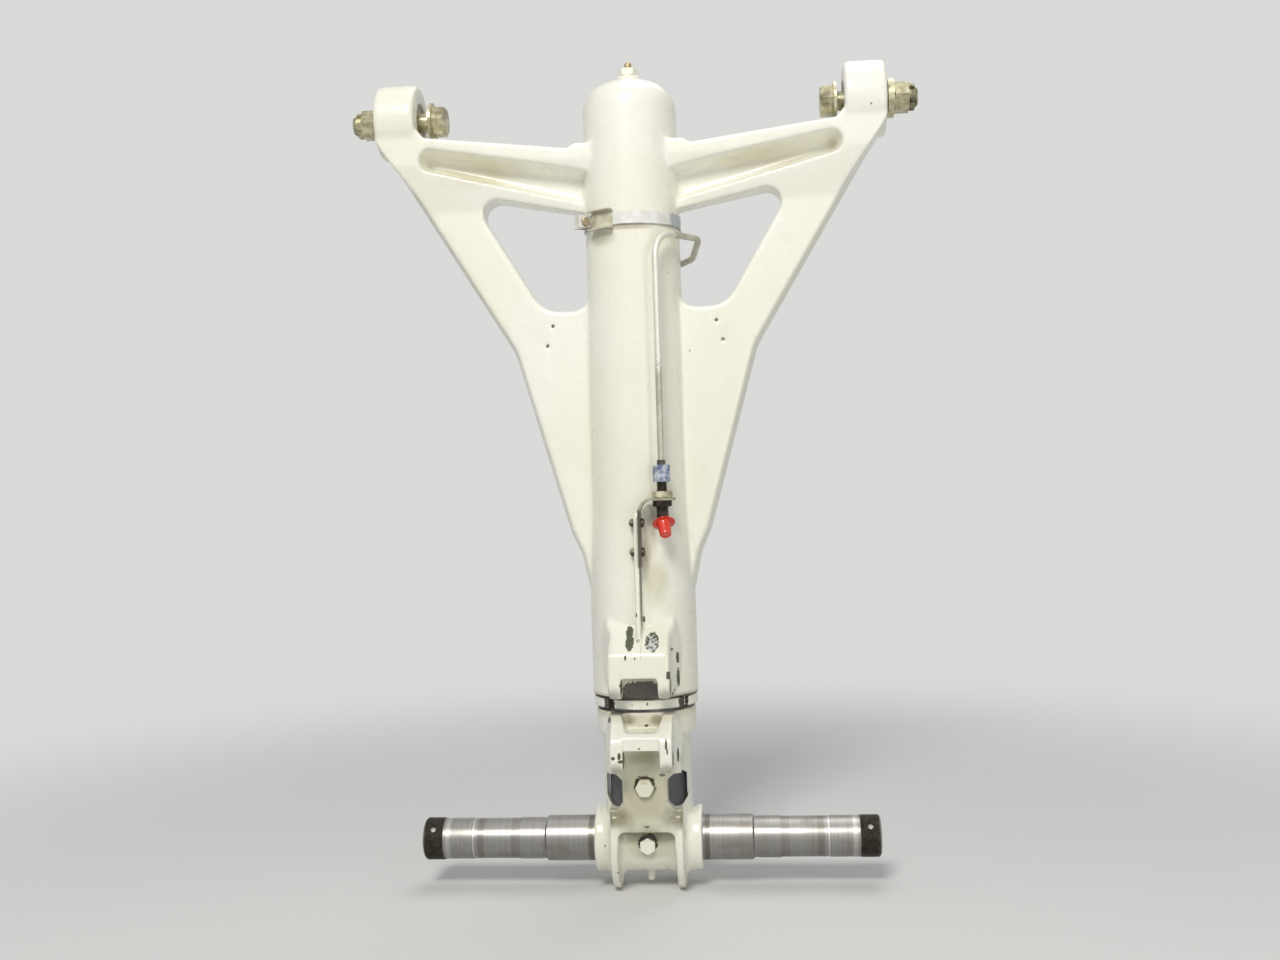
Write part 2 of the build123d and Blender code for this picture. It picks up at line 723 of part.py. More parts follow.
for side, name, head_x, nut_x, outer_washers in ((-1, "left", left_head_x, left_nut_x, 1),
                                                 (1, "right", right_head_x, right_nut_x, 2)):
    save(hex_bolt(lug_plane(side, head_x), trunnion_hex, trunnion_head, trunnion_bolt_r,
                  trunnion_bolt_length, cross_hole=(trunnion_cotter_at, cotter_d)),
         f"trunnion_bolt_{name}")
    save(hex_nut(lug_plane(side, nut_x), trunnion_hex, trunnion_nut, trunnion_bolt_r + thread_gap,
                 slots=(trunnion_slot_width, trunnion_nut_slots)), f"trunnion_nut_{name}")
    with BuildPart() as washers:
        washer_bore = trunnion_bolt_r + washer_gap
        under_head = lug_plane(side, head_x + seat_gap)
        ring(under_head, washer_bore, trunnion_washer_r, 0, trunnion_washer)
        for count in range(outer_washers):
            stack_top = nut_x - seat_gap - count * trunnion_washer
            ring(lug_plane(side, stack_top), washer_bore, trunnion_washer_r, -trunnion_washer, 0)
    save(washers.part, f"trunnion_washers_{name}")


# ================================================================== clevis bushings
def ear_bushings(y, z, inner_x, thick, outer_r, bolt_r):
    """The two bushes that are pressed into a clevis, flush with its ears."""
    with BuildPart() as bushings:
        for side in (-1, 1):
            pivot = Plane(origin=(0, y, z), x_dir=(0, 1, 0), z_dir=(side, 0, 0))
            ring(pivot, bolt_r, outer_r - press_gap, inner_x, inner_x + thick)
    return bushings.part


save(ear_bushings(link_y, upper_link_z, ear_inner_x, ear_thick, link_bush_r, link_bolt_r),
     "upper_link_bushings")
save(ear_bushings(link_y, lower_link_z, ear_inner_x, ear_thick, link_bush_r, link_bolt_r),
     "lower_link_bushings")
save(ear_bushings(brace_y, brace_z, brace_inner_x, brace_ear_thick, brace_bush_r, brace_bolt_r),
     "drag_brace_bushings")


# ================================================================== filler valve
boss_top = dome_top + valve_boss_height
with BuildPart() as filler_valve_body:
    hexagon(Plane.XY, valve_hex, boss_top, boss_top + valve_hex_height, (1,))
    ring(Plane.XY, 0, valve_neck_r, dome_base + dome_r - dome_wall - valve_neck_step, boss_top)
    ring(Plane.XY, 0, valve_port_r, dome_base, boss_top + valve_hex_height + 1, Mode.SUBTRACT)
save(filler_valve_body.part, "filler_valve_body")

with BuildPart() as valve_stem:
    stem_foot = boss_top + valve_hex_height - valve_stem_grip
    stem_top = boss_top + valve_hex_height + valve_stem_height
    turn(Plane.XY, (0, stem_foot), (valve_port_r - press_gap, stem_foot),
         (valve_port_r - press_gap, boss_top + valve_hex_height), (valve_stem_r, boss_top + valve_hex_height),
         (valve_stem_r, stem_top - 1), (valve_stem_r - 1, stem_top), (0, stem_top))
save(valve_stem.part, "valve_stem")


# ================================================================== clamp band
band_low = band_top - band_height
band_inner_r = barrel_r_at(band_low) + band_fit
band_outer_r = band_inner_r + band_thick
band_gap_angle = -90.0 - band_gap_turn       # direction of the gap, from +X
with BuildPart() as clamp_band:
    with BuildSketch(Plane.XY.offset(band_low)):
        Circle(band_outer_r)
        with PolarLocations(0, 1, start_angle=band_gap_angle):
            with Locations((band_inner_r + ear_reach / 2, 0)):
                Rectangle(ear_reach, ear_gap + 2 * band_thick)
        Circle(band_inner_r, mode=Mode.SUBTRACT)
        with PolarLocations(0, 1, start_angle=band_gap_angle):
            with Locations((band_inner_r + ear_reach / 2, 0)):
                Rectangle(ear_reach + 4, ear_gap, mode=Mode.SUBTRACT)
    extrude(amount=band_height)
    ear_holes = Plane(origin=(0, 0, band_top - band_height / 2), x_dir=(0, 0, 1),
                      z_dir=(-sin(radians(band_gap_angle)), cos(radians(band_gap_angle)), 0))
    with BuildSketch(ear_holes) as ear_hole:
        with Locations((0, band_outer_r + clamp_bolt_reach)):
            Circle(clamp_bolt_r + press_gap)
    extrude(ear_hole.sketch, amount=ear_reach, both=True, mode=Mode.SUBTRACT)
save(clamp_band.part, "clamp_band")

# Formed bracket over the band's front end, a wall with a lip above and below it.
with BuildPart() as clamp_bracket:
    wall_in = band_outer_r + seat_gap
    for low, high, depth in ((bracket_low, bracket_top, bracket_lip_thick),
                             (bracket_low, bracket_low + bracket_lip_thick, bracket_lip),
                             (bracket_top - bracket_lip_thick, bracket_top, bracket_lip)):
        with BuildSketch(Plane.XY.offset(low)) as strap:
            Circle(wall_in + depth)
            Circle(wall_in, mode=Mode.SUBTRACT)
            with BuildLine():
                far = 2 * band_outer_r
                first, last = (radians(band_gap_angle + turned) for turned in bracket_span)
                Polyline((0, 0), (far * cos(last), far * sin(last)),
                         (far * cos(first), far * sin(first)), close=True)
            make_face(mode=Mode.INTERSECT)
        extrude(strap.sketch, amount=high - low)
    ring(Plane.XY, 0, wall_in, bracket_low - 1, bracket_top + 1, Mode.SUBTRACT)
save(clamp_bracket.part, "clamp_bracket")

# Bolt across the two ears, with its head towards the front.
ear_across = ear_holes.z_dir
ear_middle = ear_holes.origin + ear_holes.y_dir * (band_outer_r + clamp_bolt_reach)
ear_face = ear_gap / 2 + band_thick
head_side = Plane(origin=ear_middle + ear_across * ear_face, x_dir=(0, 0, 1), z_dir=-ear_across)
nut_side = Plane(origin=ear_middle - ear_across * ear_face, x_dir=(0, 0, 1), z_dir=-ear_across)
save(hex_bolt(head_side, clamp_hex, clamp_head, clamp_bolt_r,
              2 * ear_face + clamp_nut_height + 1.5), "clamp_bolt")
save(hex_nut(nut_side, clamp_hex, clamp_nut_height, clamp_bolt_r + thread_gap), "clamp_nut")


# ================================================================== brake line
def line_plane(z):
    """Level plane across the brake line's vertical run."""
    return Plane(origin=(line_x, line_y, z))


# Rigid tube: up the front of the barrel, round its right side under the beam, and behind it.
back_z, behind_z = (line_top - drop for drop in line_drops)
tube_corners = ((line_x, line_y, tube_foot), (line_x, line_y, line_top), (*line_side, line_top),
                (*line_back, back_z), (*line_behind, behind_z), (*line_end, behind_z))
with BuildPart() as brake_tube:
    with BuildLine():
        tube_route = FilletPolyline(*tube_corners, radius=line_bends)
    with BuildSketch(line_plane(tube_foot)) as tube_section:
        Circle(tube_r)
        Circle(tube_r - tube_wall, mode=Mode.SUBTRACT)
    sweep(tube_section.sketch, path=tube_route)
save(brake_tube.part, "brake_tube")

with BuildPart() as tube_sleeve:
    ring(line_plane(0), tube_r, sleeve_r, tube_foot, tube_nut_bottom + tube_nut_height + sleeve_height)
save(tube_sleeve.part, "tube_sleeve")


def tube_nut(plane):
    """Coupling nut: a hexagon with a plain skirt end, over the sleeve and the tube."""
    with BuildPart() as nut:
        hexagon(plane, tube_nut_hex, 0, tube_nut_height, (-1, 1))
        ring(plane, 0, union_thread_r + thread_gap, -1, union_thread_reach, Mode.SUBTRACT)
        ring(plane, 0, sleeve_r + thread_gap, -1, tube_nut_height + 1, Mode.SUBTRACT)
    return nut.part


save(tube_nut(line_plane(tube_nut_bottom)), "tube_nut")

# The tube's far end, behind the barrel, carries the same sleeve and nut.
tube_end = Plane(origin=tube_route @ 1, x_dir=(0, 0, 1), z_dir=-(tube_route % 1))
with BuildPart() as rear_tube_sleeve:
    ring(tube_end, tube_r, sleeve_r, 0, tube_nut_height - union_thread_reach + sleeve_height)
save(rear_tube_sleeve.part, "rear_tube_sleeve")
save(tube_nut(tube_end.offset(-union_thread_reach)), "rear_tube_nut")

# Union through the bracket's plate: threads above and below a hexagon.
plate_low = plate_top - plate_thick
with BuildPart() as bulkhead_union:
    seat = line_plane(0)
    tube_face = tube_foot - seat_gap
    hexagon(seat, union_hex, plate_low - union_hex_height, plate_low, (-1,))
    turn(seat, (0, union_bottom), (union_tip_r - 1.5, union_bottom), (union_tip_r, union_bottom + 2),
         (union_tip_r, union_neck_z), (union_r, union_neck_z), (union_r, plate_low - 1),
         (union_mid_r, plate_low - 1), (union_mid_r, bulkhead_nut_top), (union_thread_r, bulkhead_nut_top + 1),
         (union_thread_r, tube_nut_bottom + union_thread_reach - 1.5), (union_thread_r - 1.5, tube_face),
         (0, tube_face))
    ring(seat, 0, tube_r - tube_wall, union_bottom - 1, tube_face + 1, Mode.SUBTRACT)
save(bulkhead_union.part, "bulkhead_union")
save(hex_nut(line_plane(plate_top), bulkhead_nut_hex, bulkhead_nut_height, union_mid_r + thread_gap),
     "bulkhead_nut")

# Bracket: a strap on the fin's right face, bent over into the plate that holds the union.
strap_mid = fin_thick / 2 + plate_thick / 2
with BuildPart() as union_bracket:
    with BuildSketch(Plane.XZ.offset(-line_y - bracket_width / 2)) as strap:
        with BuildLine() as strap_line:
            FilletPolyline((strap_mid, bracket_bottom), (strap_mid, plate_top - plate_thick / 2),
                           (plate_end_x, plate_top - plate_thick / 2), radius=bracket_bend_r)
        trace(line_width=plate_thick)
    extrude(amount=bracket_width)
    fillet(edges().filter_by(Axis.Z).sort_by(Axis.X)[-2:], radius=plate_corner_r)
    fillet(edges().filter_by(Axis.X).group_by(Axis.Z)[0], radius=strap_corner_r)
    ring(line_plane(0), 0, union_mid_r + press_gap, plate_low - 1, plate_top + 1, Mode.SUBTRACT)
    for z in screw_zs:
        ring(Plane(origin=(0, screw_y, z), x_dir=(0, 1, 0), z_dir=(1, 0, 0)), 0,
             screw_r + press_gap, 0, 2 * strap_mid, Mode.SUBTRACT)
save(union_bracket.part, "union_bracket")

# Pan head screws through strap and fin, with plain nuts on the left face.
with BuildPart() as bracket_screws:
    for z in screw_zs:
        strap_face = fin_thick / 2 + plate_thick
        screw = Plane(origin=(0, screw_y, z), x_dir=(0, 1, 0), z_dir=(1, 0, 0))
        turn(screw, (0, strap_face), (screw_head_r, strap_face),
             (screw_head_r, strap_face + 0.6 * screw_head_height),
             (0.6 * screw_head_r, strap_face + screw_head_height), (0, strap_face + screw_head_height))
        ring(screw, 0, screw_r, -fin_thick / 2 - screw_nut_height - 1.5, strap_face)
save(bracket_screws.part, "bracket_screws")
with BuildPart() as bracket_nuts:
    for z in screw_zs:
        screw = Plane(origin=(0, screw_y, z), x_dir=(0, 1, 0), z_dir=(-1, 0, 0))
        add(hex_nut(screw.offset(fin_thick / 2), screw_nut_hex, screw_nut_height, screw_r + thread_gap))
save(bracket_nuts.part, "bracket_nuts")

# Dust cap, pushed on a little askew: a wide flange round a tapered cup.
cap_axis = Plane(origin=(line_x, line_y, cap_mouth), x_dir=(cos(radians(cap_tilt)), 0, sin(radians(cap_tilt))),
                 z_dir=(sin(radians(cap_tilt)), 0, -cos(radians(cap_tilt))))
with BuildPart() as dust_cap:
    turn(cap_axis, (cap_r - cap_wall, 0), (cap_flange_r, 0), (cap_flange_r, cap_wall), (cap_r, cap_wall),
         (cap_tip_r, cap_height - 1), (cap_tip_r - 1, cap_height), (0, cap_height),
         (0, cap_height - cap_wall), (cap_tip_r - cap_wall, cap_height - cap_wall))
save(dust_cap.part, "dust_cap")


# ================================================================== gland nut, bearings, seals
gland_top = barrel_bottom - gland_joint
gland_bottom = gland_top - gland_height
neck_top = barrel_bottom + gland_neck_height
scraper_low = gland_bottom + gland_lip
bearing_low = scraper_low + scraper_height
slip_r = piston_r + running_gap
with BuildPart() as gland_nut:
    turn(Plane.XY, (piston_r + free_gap, gland_bottom), (gland_r - 0.8, gland_bottom),
         (gland_r, gland_bottom + 0.8), (gland_r, gland_top - 0.8), (gland_r - 0.8, gland_top),
         (gland_neck_r, gland_top), (gland_neck_r, neck_top), (bearing_r + press_gap, neck_top),
         (bearing_r + press_gap, bearing_low), (scraper_r + press_gap, bearing_low),
         (scraper_r + press_gap, scraper_low), (piston_r + free_gap, scraper_low))
    with BuildSketch(Plane.XY.offset(gland_bottom)):
        with PolarLocations(gland_r, 4, start_angle=gland_slot_angle):
            Rectangle(2 * gland_slot_depth, gland_slot_width)
    extrude(amount=gland_height, mode=Mode.SUBTRACT)
save(gland_nut.part, "gland_nut")

bearing_top = bearing_low + lower_bearing_height
seal_low = bearing_top + backup_height
seal_top = seal_low + 2 * ring_r
spacer_low = seal_top + backup_height
for name, inner_r, outer_r, low, high in (
        ("scraper_ring", slip_r, scraper_r, scraper_low, bearing_low),
        ("lower_bearing", slip_r, bearing_r, bearing_low, bearing_top),
        ("seal_spacer", slip_r, bearing_r, spacer_low, spacer_low + seal_spacer_height)):
    with BuildPart() as sleeve:
        ring(Plane.XY, inner_r, outer_r, low, high)
        chamfer(edges().filter_by(GeomType.CIRCLE).sort_by(SortBy.RADIUS)[-2:], length=0.6)
    save(sleeve.part, name)
with BuildPart() as backup_rings:
    for low in (bearing_top, seal_top):
        ring(Plane.XY, slip_r, bearing_r, low, low + backup_height)
save(backup_rings.part, "backup_rings")


def packing_ring(centre_r, z):
    """A rubber ring of round section, laid round the leg's axis."""
    with BuildPart() as packing:
        with BuildSketch(Plane.XZ) as section:
            with Locations((centre_r, z)):
                Circle(ring_r)
        revolve(section.sketch, axis=Axis.Z)
    return packing.part


save(packing_ring(slip_r + ring_r, seal_low + ring_r), "piston_seal")
save(packing_ring(gland_neck_r - ring_r - seal_gap, neck_top + ring_r + seat_gap), "gland_seal")

# ================================================================== orifice tube
flange_top = dome_base + sqrt((dome_r - dome_wall)**2 - (orifice_flange_r - dome_centre[0])**2) - seal_gap
tube_top = dome_base + dome_r - dome_wall - 3 * seat_gap
with BuildPart() as orifice_tube:
    ring(Plane.XY, 0, orifice_tube_r, orifice_tube_bottom, tube_top)
    ring(Plane.XY, 0, orifice_flange_r, flange_top - orifice_flange_height, flange_top)
    ring(Plane.XY, 0, orifice_tube_r - orifice_tube_wall, orifice_tube_bottom - 1, tube_top + 1,
         Mode.SUBTRACT)
    with BuildSketch(Plane.XZ.offset(-orifice_tube_r - 1)):
        with GridLocations(1, orifice_port_pitch, 1, 3):
            with Locations((0, orifice_port_z)):
                Circle(orifice_port_r)
    extrude(amount=2 * orifice_tube_r + 2, mode=Mode.SUBTRACT)
save(orifice_tube.part, "orifice_tube")
with BuildPart() as orifice_plate:
    ring(Plane.XY, orifice_r, orifice_tube_r - orifice_tube_wall - press_gap, orifice_tube_bottom,
         orifice_tube_bottom + orifice_plate_height)
    chamfer(edges().filter_by(GeomType.CIRCLE).sort_by(SortBy.RADIUS)[:2], length=1.5)
save(orifice_plate.part, "orifice_plate")

# ================================================================== piston
seat_low = piston_top - retainer_height - upper_bearing_height
piston_bore_r = piston_r - piston_wall
with BuildPart() as piston_tube:
    turn(Plane.XY, (piston_bore_r, piston_bottom), (piston_r, piston_bottom), (piston_r, seat_low),
         (upper_bearing_seat_r, seat_low), (upper_bearing_seat_r, piston_top),
         (piston_bore_r, piston_top))
    with BuildSketch(Plane.XZ.offset(-piston_r - 1)):
        with Locations((0, fork_bolt_z)):
            Circle(fork_bolt_r + running_gap)
    extrude(amount=2 * piston_r + 2, mode=Mode.SUBTRACT)
save(piston_tube.part, "piston_tube")

with BuildPart() as upper_bearing:
    ring(Plane.XY, upper_bearing_seat_r + running_gap, bearing_r, seat_low + seat_gap,
         seat_low + upper_bearing_height - seat_gap)
    chamfer(edges().filter_by(GeomType.CIRCLE).sort_by(SortBy.RADIUS)[-2:], length=0.8)
    with BuildSketch(Plane.XY.offset(seat_low)):
        with PolarLocations(bearing_r, 6):
            Rectangle(3.0, 5.0)
    extrude(amount=upper_bearing_height, mode=Mode.SUBTRACT)
save(upper_bearing.part, "upper_bearing")

with BuildPart() as bearing_retainer:
    ring(Plane.XY, upper_bearing_seat_r + press_gap, retainer_r, piston_top - retainer_height, piston_top)
    chamfer(edges().filter_by(GeomType.CIRCLE).sort_by(SortBy.RADIUS)[-2:], length=0.8)
save(bearing_retainer.part, "bearing_retainer")

with BuildPart() as piston_bulkhead:
    ring(Plane.XY, 0, piston_bore_r - press_gap, bulkhead_top - bulkhead_height, bulkhead_top)
    chamfer(edges().filter_by(GeomType.CIRCLE), length=1.0)
save(piston_bulkhead.part, "piston_bulkhead")

with BuildPart() as metering_pin:
    turn(Plane.XY, (0, bulkhead_top), (pin_foot_r, bulkhead_top),
         (pin_foot_r, bulkhead_top + pin_foot_height), (pin_base_r, bulkhead_top + pin_foot_height),
         (pin_tip_r, pin_top - 3), (pin_tip_r - 3, pin_top), (0, pin_top))
save(metering_pin.part, "metering_pin")

# ================================================================== axle fork
across = Plane(origin=(0, 0, axle_z), x_dir=(0, 1, 0), z_dir=(1, 0, 0))
with BuildPart() as fork_blank:
    # socket wall with its collar, and the solid floor below it
    turn(Plane.XY, (0, fork_floor_bottom), (fork_r, fork_floor_bottom),
         (fork_r, collar_top - collar_height - fork_cone_height),
         (collar_r, collar_top - collar_height), (collar_r, collar_top - 1), (collar_r - 1, collar_top),
         (0, collar_top))
    # front and rear webs, with a pocket between their feet
    web_half_x = foot_x + foot_thick / 2
    with BuildSketch(Plane.XY.offset(axle_z)):
        RectangleRounded(2 * web_half_x, 2 * fork_web_y, web_edge_r)
    extrude(amount=fork_web_top - axle_z)
    with BuildSketch(Plane.XZ.offset(-fork_web_y - 1)):
        with Locations((0, axle_z)):
            RectangleRounded(2 * (foot_x - foot_thick / 2 - foot_draft),
                             2 * (fork_web_bottom - axle_z), pocket_r)
    extrude(amount=2 * fork_web_y + 2, mode=Mode.SUBTRACT)
    # axle housing, and the two feet across it
    with BuildSketch(Plane.XZ) as housing_half_section:
        rim_z, tube_z = axle_z - foot_r, axle_z - housing_r
        rim_out, rim_in = foot_x + foot_thick / 2, foot_x - foot_thick / 2
        root_out, root_in = rim_out + foot_draft, rim_in - foot_draft
        right_half = ((root_in, tube_z), (rim_in, rim_z), (rim_out, rim_z), (root_out, tube_z),
                      (housing_half, tube_z))
        left_half = tuple((-x, z) for x, z in reversed(right_half))
        blends = (foot_blend_r, foot_rim_r, foot_rim_r, foot_blend_r, foot_rim_r)
        with BuildLine():
            FilletPolyline((-housing_half, axle_z), *left_half, *right_half, (housing_half, axle_z),
                           radius=(*reversed(blends), *blends))
            Line((housing_half, axle_z), (-housing_half, axle_z))
        make_face()
    revolve(housing_half_section.sketch, axis=Axis((0, 0, axle_z), (1, 0, 0)))
    with BuildSketch(Plane.XY.offset(foot_bottom - 10)):
        Rectangle(4 * foot_r, 4 * foot_r)
    extrude(amount=10, mode=Mode.SUBTRACT)
    # nub under the housing
    turn(Plane.XY, (0, nub_bottom), (nub_tip_r, nub_bottom), (nub_r, axle_z - housing_r),
         (nub_r, axle_z - housing_r + 3), (0, axle_z - housing_r + 3))

# Torque link clevis in front of the collar, splayed into it at the top.
with BuildPart() as lower_clevis:
    with BuildSketch(Plane.YZ.offset(-boss_base_x)):
        with BuildLine():
            FilletPolyline((boss_root_y, collar_top), (lower_boss_top_y, collar_top),
                           (boss_front, lower_boss_shoulder_z), (boss_front, lower_link_z - ear_r),
                           (boss_root_y, lower_link_z - ear_r),
                           radius=(boss_edge_r, boss_nose_r, ear_r - 0.01))
            Line((boss_root_y, lower_link_z - ear_r), (boss_root_y, collar_top))
        make_face()
    extrude(amount=2 * boss_base_x)
    narrow_flanks(collar_top, lower_link_z - ear_r)
    with BuildSketch(Plane.YZ.offset(-ear_inner_x)):
        with Locations((link_y, lower_link_z)):
            Circle(link_clear_r)
        with Locations((-fork_web_y, lower_link_z - ear_r)):
            Rectangle(2 * (boss_front + fork_web_y), 1, align=(Align.MAX, Align.MAX))
        make_hull()
        with Locations((boss_front, lower_link_z + link_clear_r)):
            Rectangle(2 * lower_boss_mid_setback, 4 * ear_r)
    extrude(amount=2 * ear_inner_x, mode=Mode.SUBTRACT)
    # scoop in the top edge, for the upper clevis' link
    with BuildSketch(Plane.XZ.offset(collar_r)):
        with BuildLine():
            scoop_floor = collar_top - scoop_depth
            FilletPolyline((-scoop_top_x, collar_top + 1), (-scoop_low_x, scoop_floor),
                           (scoop_low_x, scoop_floor), (scoop_top_x, collar_top + 1), radius=scoop_r)
            Line((scoop_top_x, collar_top + 1), (-scoop_top_x, collar_top + 1))
        make_face()
    extrude(amount=-boss_front, mode=Mode.SUBTRACT)
    with BuildSketch(Plane.YZ.offset(-boss_base_x)):
        with Locations((link_y, lower_link_z)):
            Circle(link_bush_r)
    extrude(amount=2 * boss_base_x, mode=Mode.SUBTRACT)

with BuildPart() as axle_fork:
    add(fork_blank.part)
    add(lower_clevis.part)
    # windows through the web and the wall, front and back, beside the central rib
    with BuildSketch(Plane.XZ.offset(-fork_r - 20)):
        window_x = (rib_half_x + fork_window_x) / 2
        window_z = (fork_window_top + fork_window_bottom) / 2
        with Locations((window_x, window_z), (-window_x, window_z)):
            Rectangle(fork_window_x - rib_half_x, fork_window_top - fork_window_bottom)
        chamfer(vertices(), length=fork_window_corner)
    extrude(amount=2 * fork_r + 40, mode=Mode.SUBTRACT)
    hollow_y = fork_web_y + hollow_r - hollow_depth
    with Locations(*((x, y, fork_window_bottom) for x in (-hollow_x, hollow_x)
                     for y in (-hollow_y, hollow_y))):
        Sphere(hollow_r, mode=Mode.SUBTRACT)
    # socket for the piston
    ring(Plane.XY, 0, piston_r + running_gap, piston_bottom - seat_gap, collar_top + 1, Mode.SUBTRACT)
    # axle bore, and the seats and holes of both through bolts
    ring(across, 0, axle_r + running_gap, -housing_half - 1, housing_half + 1, Mode.SUBTRACT)
    for z, bolt_r, seat_r, seat_y in ((fork_bolt_z, fork_bolt_r, fork_bolt_seat_r, fork_seat_y),
                                      (axle_z, axle_bolt_r, axle_bolt_seat_r, axle_seat_y)):
        for side in (-1, 1):
            bolt_plane = Plane(origin=(0, 0, z), x_dir=(1, 0, 0), z_dir=(0, side, 0))
            ring(bolt_plane, 0, bolt_r + running_gap, 0, fork_web_y + 1, Mode.SUBTRACT)
            ring(bolt_plane, 0, seat_r, seat_y, fork_web_y + seat_r, Mode.SUBTRACT)
clevis_y = collar_r + cut_clear
with BuildPart() as ear_blocks:
    ear_low, ear_high = lower_link_z - 2 * ear_r, lower_link_z + link_clear_r
    block((-boss_base_x, 2 * boss_front, ear_low), (-ear_inner_x, link_y + link_clear_r, ear_high))
    block((ear_inner_x, 2 * boss_front, ear_low), (boss_base_x, link_y + link_clear_r, ear_high))
with BuildPart() as lower_ears:
    add(axle_fork.part)
    add(ear_blocks.part, mode=Mode.INTERSECT)
save(lower_ears.part, "lower_link_ears")
with BuildPart() as fork_without_ears:
    add(axle_fork.part)
    add(ear_blocks.part, mode=Mode.SUBTRACT)
save_sections(fork_without_ears.part, "axle_fork", {
    "lower_link_clevis": ((-far, -far, low_z), (far, -clevis_y, 0))})

# Through bolts, with their heads in front and nuts behind.
for name, z, bolt_r, hex_size, head, seat_y, nut_height in (
        ("fork_bolt", fork_bolt_z, fork_bolt_r, fork_bolt_hex, fork_bolt_head, fork_seat_y, fork_nut),
        ("axle_bolt", axle_z, axle_bolt_r, axle_bolt_hex, axle_bolt_head, axle_seat_y, axle_nut)):
    head_x = (1, 0, 0) if name == "fork_bolt" else (0, 0, 1)
    head_seat = Plane(origin=(0, -seat_y, z), x_dir=head_x, z_dir=(0, 1, 0))
    save(hex_bolt(head_seat, hex_size, head, bolt_r, 2 * seat_y + nut_height + 3), name)
    save(hex_nut(head_seat.offset(2 * seat_y), hex_size, nut_height, bolt_r + thread_gap), f"{name}_nut")

# ================================================================== axle
with BuildPart() as axle:
    inner_seat_x = axle_shoulder_x + relief_width
    inner_seat_end = inner_seat_x + inner_seat_width
    outer_seat_end = axle_half - axle_thread_length
    outer_seat_x = outer_seat_end - outer_seat_width
    half = [(0, 0), (axle_r, 0), (axle_r, axle_shoulder_x), (relief_r, axle_shoulder_x + relief_ramp),
            (relief_r, inner_seat_x), (inner_seat_r, inner_seat_x), (inner_seat_r, inner_seat_end),
            (mid_seat_r, inner_seat_end), (mid_seat_r, outer_seat_x), (outer_seat_r, outer_seat_x),
            (outer_seat_r, outer_seat_end), (axle_thread_r, outer_seat_end),
            (axle_thread_r, axle_half - axle_chamfer), (axle_thread_r - axle_chamfer, axle_half),
            (0, axle_half)]
    for side in (-1, 1):
        turn(Plane(origin=(0, 0, axle_z), x_dir=(0, 1, 0), z_dir=(side, 0, 0)), *half)
    ring(across, 0, axle_bore_r, -axle_half - 1, axle_half + 1, Mode.SUBTRACT)
    with BuildSketch(Plane.XZ.offset(-axle_r - 1)):
        with Locations((0, axle_z)):
            Circle(axle_bolt_r + running_gap)
        with Locations((axle_cotter_x, axle_z), (-axle_cotter_x, axle_z)):
            Circle(axle_cotter_d / 2)
    extrude(amount=2 * axle_r + 2, mode=Mode.SUBTRACT)
save(axle.part, "axle")
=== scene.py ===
"""Looks of a twin-wheel main landing gear leg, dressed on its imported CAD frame.

Everything is in metres.  The origin is where the leg's axis crosses the trunnion axis,
+Z is up the leg, +X runs along the trunnion axis and the axle, -Y is the torque link side.
"""
from math import cos, pi, radians, sin

import bmesh
import bpy
import numpy as np
from mathutils import Matrix, Vector


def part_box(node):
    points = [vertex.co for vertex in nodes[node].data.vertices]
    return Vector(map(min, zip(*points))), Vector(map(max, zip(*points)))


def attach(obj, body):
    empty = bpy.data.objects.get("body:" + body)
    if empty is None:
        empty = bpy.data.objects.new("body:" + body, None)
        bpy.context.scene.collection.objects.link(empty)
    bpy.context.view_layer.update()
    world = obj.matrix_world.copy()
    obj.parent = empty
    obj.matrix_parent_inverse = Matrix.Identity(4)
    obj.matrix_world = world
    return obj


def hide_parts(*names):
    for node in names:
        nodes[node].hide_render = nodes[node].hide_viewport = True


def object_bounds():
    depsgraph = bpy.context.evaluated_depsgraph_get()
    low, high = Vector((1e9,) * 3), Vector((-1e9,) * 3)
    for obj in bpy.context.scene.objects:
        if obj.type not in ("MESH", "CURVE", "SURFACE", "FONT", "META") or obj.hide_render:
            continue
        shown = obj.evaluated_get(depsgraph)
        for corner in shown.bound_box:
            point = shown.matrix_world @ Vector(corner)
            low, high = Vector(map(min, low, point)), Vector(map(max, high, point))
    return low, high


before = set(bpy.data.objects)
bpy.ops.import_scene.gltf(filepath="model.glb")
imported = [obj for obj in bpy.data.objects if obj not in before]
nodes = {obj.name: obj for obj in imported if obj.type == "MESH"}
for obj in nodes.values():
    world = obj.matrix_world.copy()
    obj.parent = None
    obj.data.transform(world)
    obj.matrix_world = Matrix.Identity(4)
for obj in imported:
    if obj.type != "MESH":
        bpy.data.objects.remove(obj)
cad_low, cad_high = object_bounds()

# ---------------------------------------------------------------- standpoint and studio
# The leg stands upright on its feet on a wide pale floor that fades into a plain room.  The eye
# is level with the middle of the leg, a step to its right, and the horizon is a little canted.
eye_distance = 1.35
eye_height = -0.368
eye_turn = radians(5.0)
cant = 0.0295

look = Vector((-sin(eye_turn), cos(eye_turn), 0.0))
level_right = Vector((cos(eye_turn), sin(eye_turn), 0.0))
right = level_right * cos(cant) - Vector((0, 0, 1)) * sin(cant)
upward = level_right * sin(cant) + Vector((0, 0, 1)) * cos(cant)
eye = bpy.data.objects.new("eye", bpy.data.cameras.new("eye"))
bpy.context.scene.collection.objects.link(eye)
turn = Matrix((right, upward, -look)).transposed()
standpoint = Vector((0, 0, eye_height)) - look * eye_distance
eye.matrix_world = Matrix.Translation(standpoint) @ turn.to_4x4()
eye.data.sensor_width, eye.data.lens = 36.0, 37.97        # millimetres
eye.data.clip_start, eye.data.clip_end = 0.05, 50.0
bpy.context.scene.camera = eye
bpy.context.scene.view_settings.view_transform = "Standard"


